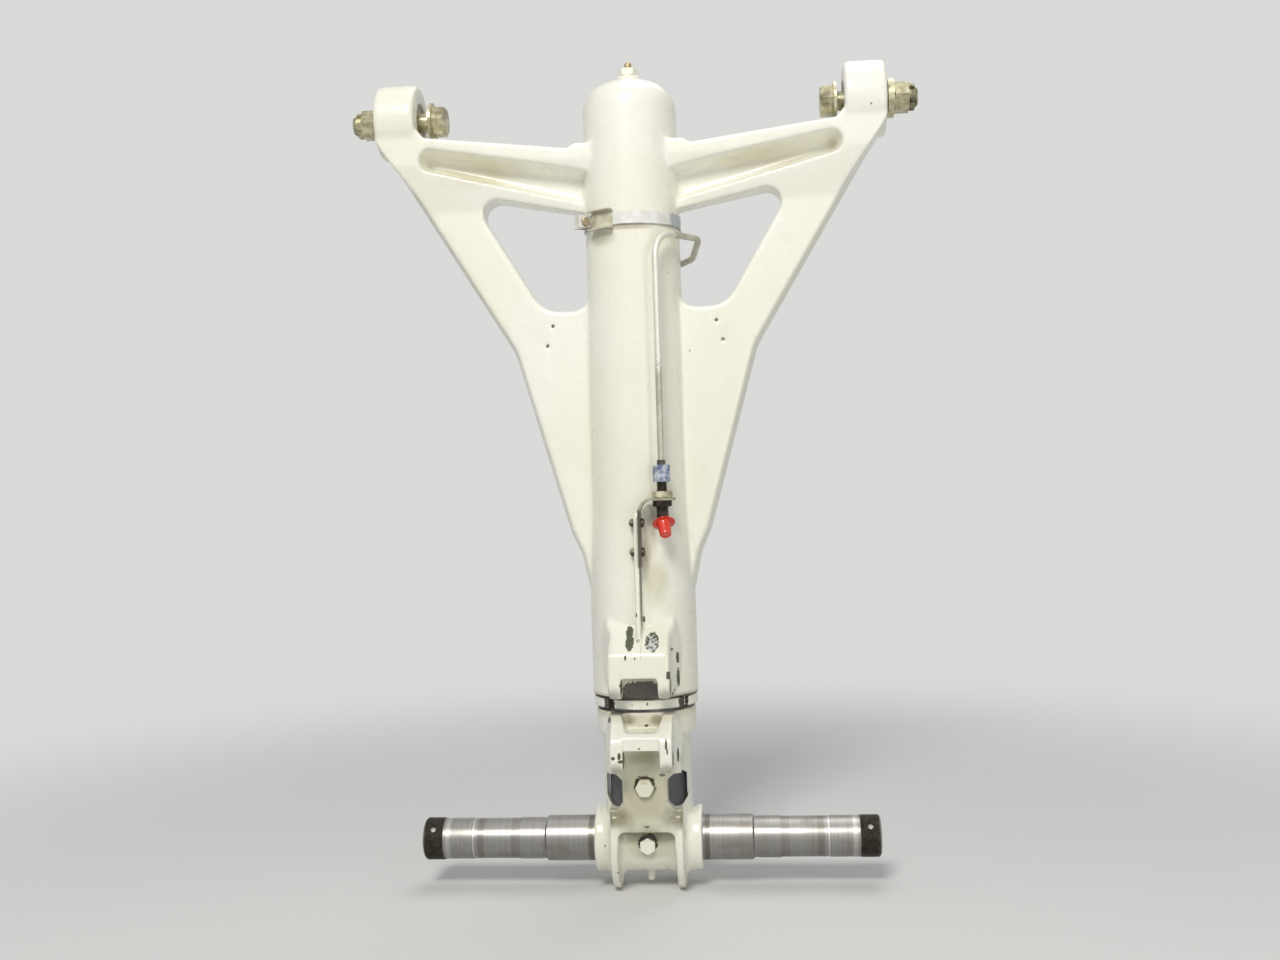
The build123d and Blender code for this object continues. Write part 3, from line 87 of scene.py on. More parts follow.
def shader(name):
    """A fresh material and its node tree, empty but for the output."""
    material = bpy.data.materials.new(name)
    material.use_nodes = True
    tree = material.node_tree
    tree.nodes.clear()
    tree.nodes.new("ShaderNodeOutputMaterial")
    return material, tree


def put(tree, kind, sockets=None, **settings):
    """Add a node: `settings` are its properties, `sockets` its input values or links."""
    made = tree.nodes.new("ShaderNode" + kind)
    for key, value in settings.items():
        setattr(made, key, value)
    for key, value in (sockets or {}).items():
        if hasattr(value, "node"):
            tree.links.new(value, made.inputs[key])
        else:
            made.inputs[key].default_value = value
    return made


room_tone = (0.70, 0.70, 0.69, 1)


def seen_straight_or_mirrored(tree):
    """1 for rays from the eye and for mirrored ones, 0 for the rays that carry light."""
    rays = put(tree, "LightPath").outputs
    return put(tree, "Math", {0: rays["Is Camera Ray"], 1: rays["Is Glossy Ray"]},
               operation="MAXIMUM").outputs[0]


def floor_paper(colour, near, far):
    """Matt paper with a faint fibre, fading into the room's tone between two distances out."""
    material, tree = shader("floor_paper")
    place = put(tree, "TexCoord").outputs["Object"]
    fibre = put(tree, "TexNoise", {"Vector": place, "Scale": 60.0, "Detail": 4.0})
    tint = put(tree, "ValToRGB", {"Fac": fibre.outputs["Fac"]})
    tint.color_ramp.elements[0].color = (*(c * 0.985 for c in colour), 1)
    tint.color_ramp.elements[1].color = (*colour, 1)
    matt = put(tree, "BsdfPrincipled", {"Base Color": tint.outputs["Color"], "Roughness": 0.9,
                                        "Specular IOR Level": 0.1})
    level = put(tree, "VectorMath", {0: place, 1: (1, 1, 0)}, operation="MULTIPLY").outputs[0]
    away = put(tree, "VectorMath", {0: level}, operation="LENGTH").outputs["Value"]
    fade = put(tree, "MapRange", {"Value": away, "From Min": near, "From Max": far},
               interpolation_type="SMOOTHERSTEP").outputs[0]
    share = put(tree, "Math", {0: fade, 1: seen_straight_or_mirrored(tree)}, operation="MULTIPLY")
    room = put(tree, "Emission", {"Color": room_tone})
    mixed = put(tree, "MixShader", {0: share.outputs[0], 1: matt.outputs[0], 2: room.outputs[0]})
    tree.links.new(mixed.outputs[0], tree.nodes["Material Output"].inputs["Surface"])
    return material


def mesh_of(name, points, faces):
    """A smooth-shaded object from an (n, 3) array of points and an (m, k) array of faces."""
    mesh = bpy.data.meshes.new(name)
    mesh.from_pydata(np.asarray(points).tolist(), [], np.asarray(faces).tolist())
    mesh.polygons.foreach_set("use_smooth", np.full(len(mesh.polygons), True))
    mesh.update()
    made = bpy.data.objects.new(name, mesh)
    bpy.context.scene.collection.objects.link(made)
    return made


def grid_faces(rows, columns, round_closed=False):
    """Quads over a rows by columns grid of points, with the last column joined to the first where
    the grid runs round a piece."""
    r, c = (a.ravel() for a in np.meshgrid(np.arange(rows - 1),
                                           np.arange(columns if round_closed else columns - 1),
                                           indexing="ij"))
    r2, c2 = r + 1, (c + 1) % columns
    return np.stack([r * columns + c, r * columns + c2, r2 * columns + c2, r2 * columns + c], 1)


# The floor is one flat sheet under the feet.  It rides on the piston, which stands on it at any
# stroke, so the fork never sinks into it.
floor_half, floor_steps = 9.0, 37
floor_white = (0.80, 0.80, 0.79)
fade_from, fade_to = 0.30, 1.60
across = np.linspace(-floor_half, floor_half, floor_steps)
floor_x, floor_y = np.meshgrid(across, across)
floor_points = np.stack([floor_x, floor_y, np.full_like(floor_x, cad_low.z)], -1).reshape(-1, 3)
floor = mesh_of("floor", floor_points, grid_faces(floor_steps, floor_steps))
floor.data.materials.append(floor_paper(floor_white, fade_from, fade_to))
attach(floor, "piston")


def lamp(name, place, aim, size, watts, colour=(1, 1, 1)):
    """A square soft lamp at a place, turned towards a point."""
    data = bpy.data.lights.new(name, "AREA")
    data.size, data.energy, data.color = size, watts, colour
    made = bpy.data.objects.new(name, data)
    bpy.context.scene.collection.objects.link(made)
    facing = (Vector(aim) - Vector(place)).to_track_quat("-Z", "Y")
    made.matrix_world = Matrix.Translation(place) @ facing.to_matrix().to_4x4()


# A key lamp high in front, a weak fill low on the right, and two faint ones above and behind.
lamp("key_lamp", (-0.30, -2.20, 1.45), (0, 0, -0.45), 0.80, 50.0, (1.0, 0.985, 0.95))
lamp("fill_lamp", (1.2, -1.9, -0.30), (0, 0, -0.60), 1.2, 8.0, (0.97, 0.985, 1.0))
lamp("top_lamp", (0.1, 0.1, 1.6), (0, 0.1, -0.4), 1.2, 6.0)
lamp("back_lamp", (0.4, 0.9, 1.4), (0, 0.0, -0.4), 1.0, 5.0)

# The room gives a little even light of its own.  Its pale tone shows only to the eye and in
# what metal and gloss mirror.
world = bpy.data.worlds.new("room")
bpy.context.scene.world = world
world.use_nodes = True
room_tree = world.node_tree
room_tree.nodes["Background"].inputs["Color"].default_value = (0.95, 0.97, 1.0, 1)
room_tree.nodes["Background"].inputs["Strength"].default_value = 0.24
shown = put(room_tree, "Background", {"Color": room_tone})
seen = put(room_tree, "MixShader", {0: seen_straight_or_mirrored(room_tree),
                                    1: room_tree.nodes["Background"].outputs[0],
                                    2: shown.outputs[0]})
room_tree.links.new(seen.outputs[0], room_tree.nodes["World Output"].inputs["Surface"])

# ---------------------------------------------------------------- forged cylinder
# One aluminium forging: the barrel, two braced trunnion arms and the clevises, machined where
# things fit and painted with glossy white enamel over green primer, now yellowed and chipped.
hollow_passes = 40        # how wide a neighbourhood a hollow is measured against


def fused_skin(name, node_names, lattice, triangles, keep_crisp, passes, drawn):
    """One soft-edged skin round touching nodes, which then stands for them.

    Their surfaces are joined and wrapped on a fine lattice, which drops the faces they meet on.
    Each point then moves `passes` times half way to the mean of its neighbours, times its share
    from keep_crisp(points), which rounds edges as a forging's are, and drawn(points) then pulls a
    few edges to their forged line.  The hollow of a point is how far its outward side lies below
    the mean of a wide neighbourhood, in millimetres.
    """
    joined = bmesh.new()
    for node_name in node_names:
        joined.from_mesh(nodes[node_name].data)
    bmesh.ops.remove_doubles(joined, verts=joined.verts, dist=1e-6)
    mesh = bpy.data.meshes.new(name)
    joined.to_mesh(mesh)
    joined.free()
    made = bpy.data.objects.new(name, mesh)
    bpy.context.scene.collection.objects.link(made)
    wrap = made.modifiers.new("lattice", "REMESH")
    wrap.mode, wrap.voxel_size = "VOXEL", lattice
    made.data = settled(made)
    mesh = made.data

    points = np.empty(len(mesh.vertices) * 3)
    mesh.vertices.foreach_get("co", points)
    points = points.reshape(-1, 3)
    ends = np.empty(len(mesh.edges) * 2, int)
    mesh.edges.foreach_get("vertices", ends)
    a, b = ends.reshape(-1, 2).T
    count = np.bincount(ends, minlength=len(points))[:, None]

    def mean_of_neighbours(values):
        total = np.zeros_like(values)
        for k in range(values.shape[1]):
            total[:, k] = (np.bincount(a, values[b, k], len(values))
                           + np.bincount(b, values[a, k], len(values)))
        return total / count

    share = 0.5 * keep_crisp(points)[:, None]
    for _ in range(passes):
        points += share * (mean_of_neighbours(points) - points)
    points = drawn(points)
    wide = points.copy()
    for _ in range(hollow_passes):
        wide += 0.5 * (mean_of_neighbours(wide) - wide)
    mesh.vertices.foreach_set("co", points.ravel())
    mesh.update()
    outward = np.empty(len(points) * 3)
    mesh.vertices.foreach_get("normal", outward)
    hollow = ((wide - points) * outward.reshape(-1, 3)).sum(1) * 1000
    mesh.attributes.new("hollow", "FLOAT", "POINT").data.foreach_set("value", hollow)
    thin = made.modifiers.new("thin", "DECIMATE")
    thin.ratio = min(1.0, triangles / (2.0 * len(mesh.polygons)))
    made.data = settled(made)
    made.data.polygons.foreach_set("use_smooth", np.full(len(made.data.polygons), True))
    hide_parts(*node_names)
    return made


def settled(piece):
    """The piece's mesh with its modifiers applied; the modifiers are then taken off."""
    ready = bpy.data.meshes.new_from_object(
        piece.evaluated_get(bpy.context.evaluated_depsgraph_get()))
    piece.modifiers.clear()
    return ready


web_holes = ((81.4, -212.5), (87.4, -232.0))        # small drilled holes in both webs, mm


def machined_share(points):
    """Little rounding on the bored and faced parts of the cylinder, full rounding elsewhere."""
    x, y, z = (points * 1000).T
    out = np.abs(x)
    share = np.ones(len(points))
    lug_bores = (out > 205) & (np.hypot(y, z) < 24)
    link_clevis = (y < -60) & (z < -532) & (out < 36)
    brace_clevis = (y > 62) & (out < 32)
    valve_seat = (z > 24) & (np.hypot(x, y) < 24)
    mouth = z < -566
    fin = (out < 4.5) & (y < -50) & (z > -532) & (z < -400)
    share[lug_bores] = 0.1
    share[link_clevis | brace_clevis] = 0.35
    share[valve_seat] = 0.3
    share[mouth] = np.minimum(share[mouth], 0.3)
    for hole_out, hole_z in web_holes:
        share[np.hypot(out - hole_out, z - hole_z) < 5.5] = 0.0
    share[fin] = 0.15
    return share


def ramp(value, low, high):
    """Smooth step: 0 at `low`, 1 at `high`, with t t (3 - 2 t) between."""
    t = np.clip((value - low) / (high - low), 0, 1)
    return t * t * (3 - 2 * t)


# Lines on an arm's face, in millimetres: a height, its slope outward, and how far out it is.
channel_edge = (-31.0, 0.1775, 198)
arm_top = (-35.0, 0.1373, 59)
fall_at_barrel, fall_more_at_lug = 4.5, 2.5
arm_start, arm_run = 60, 140
# Each band runs from where a pull has no effect to where it has its full effect, in millimetres.
arm_inner_band, arm_outer_band = (52, 62), (211, 202)


def straight(line, out):
    """Height of a straight line at a distance out: height + slope (out - its place)."""
    height, slope, place = line
    return height + slope * (out - place)


def arm_top_drawn(points):
    """Lower the arms' upper edges.

    Between barrel and lug, a point falls by 4.5 mm at the barrel to 7 mm at the lug, times how far
    up it lies between the channel's upper edge and the arm's top line.
    """
    x, y, z = (points * 1000).T
    out = np.abs(x)
    share = (ramp(z, straight(channel_edge, out), straight(arm_top, out))
             * ramp(out, *arm_inner_band) * ramp(out, *arm_outer_band))
    fall = (fall_at_barrel + fall_more_at_lug * (out - arm_start) / arm_run) * share / 1000
    return points - np.stack([0 * fall, 0 * fall, fall], 1)


forging = fused_skin("forging", ("cylinder_barrel", "truss_left", "truss_right",
                                 "drag_brace_clevis", "upper_link_clevis"),
                     lattice=0.0013, triangles=190000, keep_crisp=machined_share, passes=14,
                     drawn=arm_top_drawn)
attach(forging, "cylinder")


def grain(tree, scale, detail=3.0, stretch=(1, 1, 1), shift=(0, 0, 0), roughness=0.5):
    """A noise value on the piece's own coordinates, stretched by a Mapping node."""
    place = put(tree, "Mapping", {"Vector": put(tree, "TexCoord").outputs["Object"],
                                  "Scale": stretch, "Location": shift})
    made = put(tree, "TexNoise", {"Vector": place.outputs[0], "Scale": scale, "Detail": detail,
                                  "Roughness": roughness})
    return made.outputs["Fac"]


def sum_of(tree, kind, first, second=0.0, third=0.0, clamp=False):
    """One Math node of a kind, with numbers or links going in."""
    return put(tree, "Math", {0: first, 1: second, 2: third}, operation=kind,
               use_clamp=clamp).outputs[0]


def step_up(tree, value, low, high):
    """0 below `low`, 1 above `high`, smooth between."""
    return put(tree, "MapRange", {"Value": value, "From Min": low, "From Max": high},
               interpolation_type="SMOOTHSTEP").outputs[0]


def blend_of(tree, share, first, second):
    """A colour between two, by a share from 0 to 1."""
    made = put(tree, "Mix", data_type="RGBA")
    for socket, value in ((0, share), (6, first), (7, second)):
        if hasattr(value, "node"):
            tree.links.new(value, made.inputs[socket])
        else:
            made.inputs[socket].default_value = (*value, 1) if socket else value
    return made.outputs[2]


def how_far_out(tree, middle, reach):
    """Distance from a middle in units of the reach each way: 1 on the ellipsoid's surface."""
    place = put(tree, "TexCoord").outputs["Object"]
    away = put(tree, "VectorMath", {0: place, 1: middle}, operation="SUBTRACT").outputs[0]
    scaled = put(tree, "VectorMath", {0: away, 1: reach}, operation="DIVIDE").outputs[0]
    return put(tree, "VectorMath", {0: scaled}, operation="LENGTH").outputs["Value"]


def patch(tree, middle, reach, fray, fray_scale, seed=0.0):
    """1 inside an ellipsoid whose edge is torn by noise, 0 outside it."""
    far_out = how_far_out(tree, middle, reach)
    torn = sum_of(tree, "MULTIPLY", sum_of(tree, "SUBTRACT",
                  grain(tree, fray_scale, 4.0, shift=(seed, 0, 0)), 0.5), fray * 4)
    return step_up(tree, sum_of(tree, "SUBTRACT", sum_of(tree, "SUBTRACT", 1.0, far_out), torn),
                   -0.04, 0.06)


def any_of(tree, shares):
    """The largest of several shares."""
    result = shares[0]
    for share in shares[1:]:
        result = sum_of(tree, "MAXIMUM", result, share)
    return result


def finish_surface(tree, shading, bumps):
    """Stack bumps of (height, strength, distance) under a shader and wire it to the output."""
    normal = None
    for height, strength, distance in bumps:
        bump = put(tree, "Bump", {"Height": height, "Strength": strength, "Distance": distance})
        if normal is not None:
            tree.links.new(normal, bump.inputs["Normal"])
        normal = bump.outputs[0]
    tree.links.new(normal, shading.inputs["Normal"])
    tree.links.new(shading.outputs[0], tree.nodes["Material Output"].inputs["Surface"])


def soft_spot(tree, middle, reach):
    """1 at the middle of an ellipsoid, falling to 0 at its edge, thinned unevenly by noise."""
    far_out = how_far_out(tree, middle, reach)
    uneven = sum_of(tree, "MULTIPLY", sum_of(tree, "SUBTRACT", grain(tree, 45.0, 5.0), 0.5), 0.5)
    return step_up(tree, sum_of(tree, "ADD", far_out, uneven), 1.0, 0.25)


def place_along(tree, axis):
    """The place on one axis of the piece's own coordinates: 0 for x, 1 for y, 2 for z."""
    return put(tree, "SeparateXYZ", {0: put(tree, "TexCoord").outputs["Object"]}).outputs[axis]


def line_round(tree, height, half, run):
    """1 on a level line round the leg, 0 beyond `half` above it and `run` more below it."""
    z = place_along(tree, 2)
    uneven = sum_of(tree, "MULTIPLY_ADD", grain(tree, 30.0, 6.0, (1, 1, 0.3)), 2.4, -0.5,
                    clamp=True)
    above = sum_of(tree, "SUBTRACT", z, height)
    upper = step_up(tree, above, half, half * 0.3)
    lower = step_up(tree, above, -half - run, -half * 0.3)
    return sum_of(tree, "MULTIPLY", sum_of(tree, "MULTIPLY", upper, lower), uneven)


def tinted(tree, colour, where, strength, tint):
    """The colour moved towards a tint, by `strength` where `where` is 1."""
    return blend_of(tree, sum_of(tree, "MULTIPLY", where, strength), colour, tint)


def with_lines_and_marks(tree, colour, lines, marks):
    """The colour with level lines and then sharp-edged marks on it, each in its own tint."""
    for height, half, run, tint, strength in lines:
        colour = tinted(tree, colour, line_round(tree, height, half, run), strength, tint)
    for middle, reach, tint, strength in marks:
        colour = tinted(tree, colour, patch(tree, middle, reach, 0.22, 420.0), strength, tint)
    return colour


primer_green = (0.100, 0.110, 0.062)
grime_brown = (0.16, 0.105, 0.045)
# near black: old oil and grease, and painted shade in seams, notches and round bolt heads
oil_and_shade_black = (0.030, 0.024, 0.016)


def enamel(name, chips=(), bare=(), stains_and_shade=(), marks=(), lines=(), hollow_shade_and_dirt=1.0, age=0.0):
    """Yellowed white gloss enamel: chips show green primer, bare spots show metal.

    Chips and bare spots are (middle, reach) in metres; stains_and_shade patches, real stains
    and painted shade and shadow, fade out from their middle, and marks have an edge, (middle,
    reach, tint, strength); a line is (height, half, run, tint, strength).  Some marks and lines
    are painted shade and shadow as well.
    """
    material, tree = shader(name)
    fade = grain(tree, 7.0, 4.0)
    clean = blend_of(tree, age, (0.895, 0.885, 0.800), (0.72, 0.705, 0.56))
    yellowed = blend_of(tree, age, (0.850, 0.835, 0.700), (0.62, 0.60, 0.44))
    colour = blend_of(tree, step_up(tree, fade, 0.32, 0.70), yellowed, clean)
    # yellow-brown tint in hollows, painted shade together with gathered dirt, in streaks that run
    # down from them
    hollow = put(tree, "Attribute", attribute_name="hollow").outputs["Fac"]
    hollow_shade_and_film = sum_of(tree, "MULTIPLY", step_up(tree, hollow, 0.25, 2.0),
                  step_up(tree, grain(tree, 26.0, 5.0, (1, 1, 0.45)), 0.25, 0.70))
    colour = tinted(tree, colour, hollow_shade_and_film, 0.55 * hollow_shade_and_dirt, (0.52, 0.47, 0.25))
    # faint brown smears and rubbed-in marks
    smear = step_up(tree, grain(tree, 34.0, 6.0, (1, 1, 0.5), (3, 1, 0), 0.62), 0.60, 0.82)
    colour = tinted(tree, colour, smear, 0.14, (0.50, 0.43, 0.25))
    # real stains, and patches of painted shade and shadow
    for middle, reach, tint, strength in stains_and_shade:
        colour = tinted(tree, colour, soft_spot(tree, middle, reach), strength, tint)
    colour = with_lines_and_marks(tree, colour, lines, marks)
    # specks of dark dirt, each a small round dot in a sparse scatter
    cells = put(tree, "TexVoronoi", {"Vector": put(tree, "TexCoord").outputs["Object"],
                                     "Scale": 55.0, "Randomness": 1.0})
    pick = put(tree, "SeparateColor", {0: cells.outputs["Color"]}).outputs
    size = sum_of(tree, "MULTIPLY", step_up(tree, pick[0], 0.86, 1.0), 0.070)
    speck = step_up(tree, sum_of(tree, "SUBTRACT", size, cells.outputs["Distance"]), 0.0, 0.02)
    colour = tinted(tree, colour, speck, 0.8, grime_brown)
    # sharp edges rubbed down to the primer in a few places
    worn = sum_of(tree, "MULTIPLY", step_up(tree, hollow, -1.5, -2.2),
                  step_up(tree, grain(tree, 60.0, 6.0, roughness=0.7), 0.63, 0.67))
    chip = any_of(tree, [worn] + [patch(tree, m, r, 0.20, 330.0, 7.0 * k)
                                  for k, (m, r) in enumerate(chips)])
    colour = blend_of(tree, chip, colour, blend_of(tree, grain(tree, 400.0), primer_green,
                                                   (0.055, 0.056, 0.032)))
    metal = 0.0
    if bare:
        # scraped through to the metal in upright streaks
        streaks = step_up(tree, grain(tree, 430.0, 3.0, (1, 1, 0.10)), 0.46, 0.56)
        metal = sum_of(tree, "MULTIPLY", streaks,
                       any_of(tree, [patch(tree, m, r, 0.3, 420.0, 3.0 * k)
                                     for k, (m, r) in enumerate(bare)]))
        colour = blend_of(tree, metal, colour, (0.62, 0.62, 0.60))
    gloss = sum_of(tree, "MULTIPLY_ADD", grain(tree, 40.0, 4.0), 0.16, 0.20)
    rough = sum_of(tree, "ADD", gloss, sum_of(tree, "MULTIPLY", any_of(tree, [chip, hollow_shade_and_film]), 0.35),
                   clamp=True)
    paint = put(tree, "BsdfPrincipled", {"Base Color": colour, "Roughness": rough,
                                         "Metallic": metal, "Coat Weight": 0.25,
                                         "Coat Roughness": 0.12})
    finish_surface(tree, paint, [
        (grain(tree, 55.0, 3.0), 0.20, 0.0008),
        (grain(tree, 520.0, 2.0), 0.10, 0.00025),
        (sum_of(tree, "SUBTRACT", 1.0, any_of(tree, [chip, speck])), 0.45, 0.00025)])
    return material


# brown: real stains, and painted shade along the gland seam and on the fork bolt's head
brown_stain_and_shade = (0.30, 0.22, 0.10)
# olive: the union bracket's painted shadow on the barrel
bracket_shadow_olive = (0.50, 0.48, 0.27)
# straw yellow: painted shade in the arms' channels
painted_channel_shade = (0.62, 0.56, 0.32)
# painted shade under the rounded lower ends of the clevis ears
painted_ear_shade = (0.40, 0.39, 0.32)

# Chips and scrapes on the link clevis, brown stain marks beside the fin, the union bracket's
# painted shadow on the barrel beside and below it, darker patches below the clamp, painted shade
# in the arms' channels, in the clevis slot and under the clevis ears, a black floor in the slot
# that is painted shade with dirt, and painted shade along the seam at the gland nut.
forging.data.materials.clear()
forging.data.materials.append(enamel(
    "forging_enamel",
    chips=[((-0.0092, -0.060, -0.5130), (0.0034, 0.012, 0.0070)),
           ((-0.0086, -0.068, -0.5220), (0.0040, 0.014, 0.0095)),
           ((-0.0120, -0.079, -0.5350), (0.0010, 0.008, 0.0030)),
           ((-0.0030, -0.080, -0.5362), (0.0007, 0.008, 0.0012)),
           ((0.0128, -0.068, -0.5220), (0.0066, 0.016, 0.0105)),
           ((0.0286, -0.078, -0.5525), (0.0026, 0.008, 0.0040)),
           ((0.0352, -0.044, -0.5400), (0.0014, 0.012, 0.0060)),
           ((0.0352, -0.042, -0.5600), (0.0014, 0.012, 0.0095)),
           ((0.0306, -0.053, -0.5310), (0.0008, 0.008, 0.0014)),
           ((-0.0178, -0.079, -0.5615), (0.0008, 0.008, 0.0012)),
           ((0.0045, -0.053, -0.5016), (0.0012, 0.008, 0.0035)),
           ((-0.0020, -0.066, -0.4965), (0.0013, 0.008, 0.0022))],
    bare=[((0.0128, -0.068, -0.5230), (0.0055, 0.016, 0.0090))],
    # the first patch and the one at z -0.418 are the union bracket's painted shadow on the barrel
    stains_and_shade=[((0.016, -0.049, -0.465), (0.019, 0.02, 0.034), bracket_shadow_olive, 0.60),
            ((0.008, -0.052, -0.437), (0.008, 0.02, 0.030), brown_stain_and_shade, 0.55),
            # painted shade in both arms' channels
            ((-0.150, -0.012, -0.060), (0.060, 0.025, 0.020), painted_channel_shade, 0.45),
            ((0.135, -0.012, -0.055), (0.060, 0.025, 0.018), painted_channel_shade, 0.40),
            # painted shade on the curved underside of the block in the clevis slot
            ((0.0, -0.050, -0.556), (0.026, 0.011, 0.016), (0.30, 0.27, 0.17), 0.85),
            # more of the union bracket's painted shadow
            ((0.014, -0.050, -0.418), (0.011, 0.020, 0.032), (0.45, 0.43, 0.28), 0.60),
            ((-0.030, -0.038, -0.131), (0.022, 0.020, 0.012), (0.30, 0.28, 0.16), 0.60),
            ((0.0, -0.0475, -0.123), (0.055, 0.010, 0.0035), brown_stain_and_shade, 0.55),
            # painted shade under the upper clevis ears
            ((-0.0245, -0.077, -0.573), (0.010, 0.012, 0.014), painted_ear_shade, 0.80),
            ((0.0245, -0.077, -0.573), (0.010, 0.012, 0.014), painted_ear_shade, 0.80)],
    # the slot's black floor: painted shade with dirt
    marks=[((0.0010, -0.050, -0.5740), (0.0320, 0.0105, 0.0135), (0.045, 0.038, 0.026), 0.93),
           ((0.0026, -0.056, -0.478), (0.0007, 0.012, 0.036), (0.12, 0.09, 0.05), 0.75),
           ((0.0026, -0.078, -0.520), (0.0004, 0.014, 0.020), (0.30, 0.25, 0.15), 0.55),
           ((-0.0005, -0.068, -0.5210), (0.0018, 0.008, 0.0020), (0.20, 0.27, 0.12), 0.9)],
    # painted shade along the seam above the gland nut
    lines=[(-0.5780, 0.0012, 0.0, oil_and_shade_black, 0.95), (-0.5765, 0.0022, 0.0, brown_stain_and_shade, 0.45)]))

# ---------------------------------------------------------------- clevis bushings
# Steel bushes pressed flush into the clevis ears, cadmium plated and gone yellow and dull.


def plated(name, bright, dull, grime=(0.10, 0.075, 0.04), rough=0.42, scale=150.0, dirt=0.5,
           metallic=0.85, lines=(), marks=(), thread=None):
    """Plated steel: mottled between bright and dull, with grime in soft patches and fine pits.

    A thread is (axis, pitch, start, end): sine ridges along that axis between two places on it,
    taken outwards from the middle.
    """
    material, tree = shader(name)
    mottle = grain(tree, scale, 6.0, roughness=0.62)
    colour = blend_of(tree, step_up(tree, mottle, 0.36, 0.66), dull, bright)
    soil = sum_of(tree, "MULTIPLY", step_up(tree, grain(tree, scale * 0.45, 5.0, shift=(2, 5, 1)),
                                            0.50, 0.70), dirt)
    colour = blend_of(tree, soil, colour, grime)
    colour = with_lines_and_marks(tree, colour, lines, marks)
    relief = [(grain(tree, scale * 5, 4.0), 0.30, 0.0003), (mottle, 0.20, 0.0004)]
    if thread:
        axis, pitch, start, end = thread
        along = sum_of(tree, "ABSOLUTE", place_along(tree, axis))
        on_thread = sum_of(tree, "MULTIPLY", step_up(tree, along, start, start + 0.0004),
                           step_up(tree, along, end, end - 0.0004))
        ridge = sum_of(tree, "MULTIPLY_ADD", sum_of(tree, "SINE", sum_of(tree, "MULTIPLY", along,
                       2 * pi / pitch)), 0.5, 0.5)
        valley = sum_of(tree, "MULTIPLY_ADD", ridge, -0.40, 0.40)
        colour = tinted(tree, colour, on_thread, valley, oil_and_shade_black)
        relief.append((sum_of(tree, "MULTIPLY", on_thread, ridge), 1.0, 0.0006))
    turned = sum_of(tree, "MULTIPLY_ADD", mottle, 0.22, rough - 0.10)
    rough_in = sum_of(tree, "ADD", turned, sum_of(tree, "MULTIPLY", soil, 0.3), clamp=True)
    shiny = sum_of(tree, "SUBTRACT", metallic, sum_of(tree, "MULTIPLY", soil, 0.5), clamp=True)
    metal = put(tree, "BsdfPrincipled", {"Base Color": colour, "Roughness": rough_in,
                                         "Metallic": shiny})
    finish_surface(tree, metal, relief)
    return material


def dress(material, *node_names):
    """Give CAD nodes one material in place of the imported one."""
    for node_name in node_names:
        nodes[node_name].data.materials.clear()
        nodes[node_name].data.materials.append(material)


dress(plated("bush_cadmium", (0.50, 0.45, 0.34), (0.30, 0.26, 0.18)),
      "upper_link_bushings", "lower_link_bushings", "drag_brace_bushings",
      "trunnion_bushings_left", "trunnion_bushings_right")

# ---------------------------------------------------------------- trunnion bolts
# Three-quarter inch bolts put loosely through the lugs, with castle nuts and plain washers:
# cadmium plate that has worn yellow-brown, with grease and dust in the corners.
dress(plated("trunnion_cadmium", (0.66, 0.62, 0.43), (0.36, 0.33, 0.20), (0.06, 0.05, 0.03),
             rough=0.30, scale=120.0, dirt=0.60, thread=(0, 0.0016, 0.2758, 0.2845)),
      "trunnion_bolt_left", "trunnion_bolt_right", "trunnion_nut_left", "trunnion_nut_right")
dress(plated("washer_cadmium", (0.70, 0.66, 0.46), (0.44, 0.41, 0.26), rough=0.30, dirt=0.4),
      "trunnion_washers_left", "trunnion_washers_right")

# ---------------------------------------------------------------- filler valve
# Steel valve body screwed into the dome and painted over with it; the stem is plated brass.
dress(enamel("valve_enamel", hollow_shade_and_dirt=0.0), "filler_valve_body")
dress(plated("valve_brass", (0.66, 0.55, 0.30), (0.36, 0.27, 0.13)), "valve_stem")

# ---------------------------------------------------------------- clamp round the barrel
# Rolled stainless strip with a folded bracket and a small bolt across its ears, stained brown.
dress(plated("band_steel", (0.84, 0.84, 0.81), (0.72, 0.71, 0.66), (0.50, 0.46, 0.34), rough=0.36,
             scale=90.0, dirt=0.15, metallic=0.12,
             lines=[(-0.1203, 0.0008, 0.0, (0.10, 0.07, 0.03), 0.95)],
             # the bluish grey at the band's right end, where it turns away, is painted shade
             marks=[((0.045, -0.018, -0.114), (0.009, 0.012, 0.012), (0.36, 0.40, 0.44), 0.7)]),
      "clamp_band")
dress(plated("bracket_steel", (0.80, 0.78, 0.64), (0.56, 0.53, 0.38), rough=0.36, scale=110.0,
             dirt=0.40, metallic=0.35,
             # the first line, under the bracket's upper lip, is painted shade
             lines=[(-0.1073, 0.0014, 0.0006, (0.16, 0.14, 0.07), 0.9),
                    (-0.1215, 0.0007, 0.0, (0.14, 0.11, 0.05), 0.85)]), "clamp_bracket")
dress(plated("clamp_bolt_steel", (0.50, 0.42, 0.28), (0.30, 0.23, 0.13), dirt=0.5),
      "clamp_bolt", "clamp_nut")

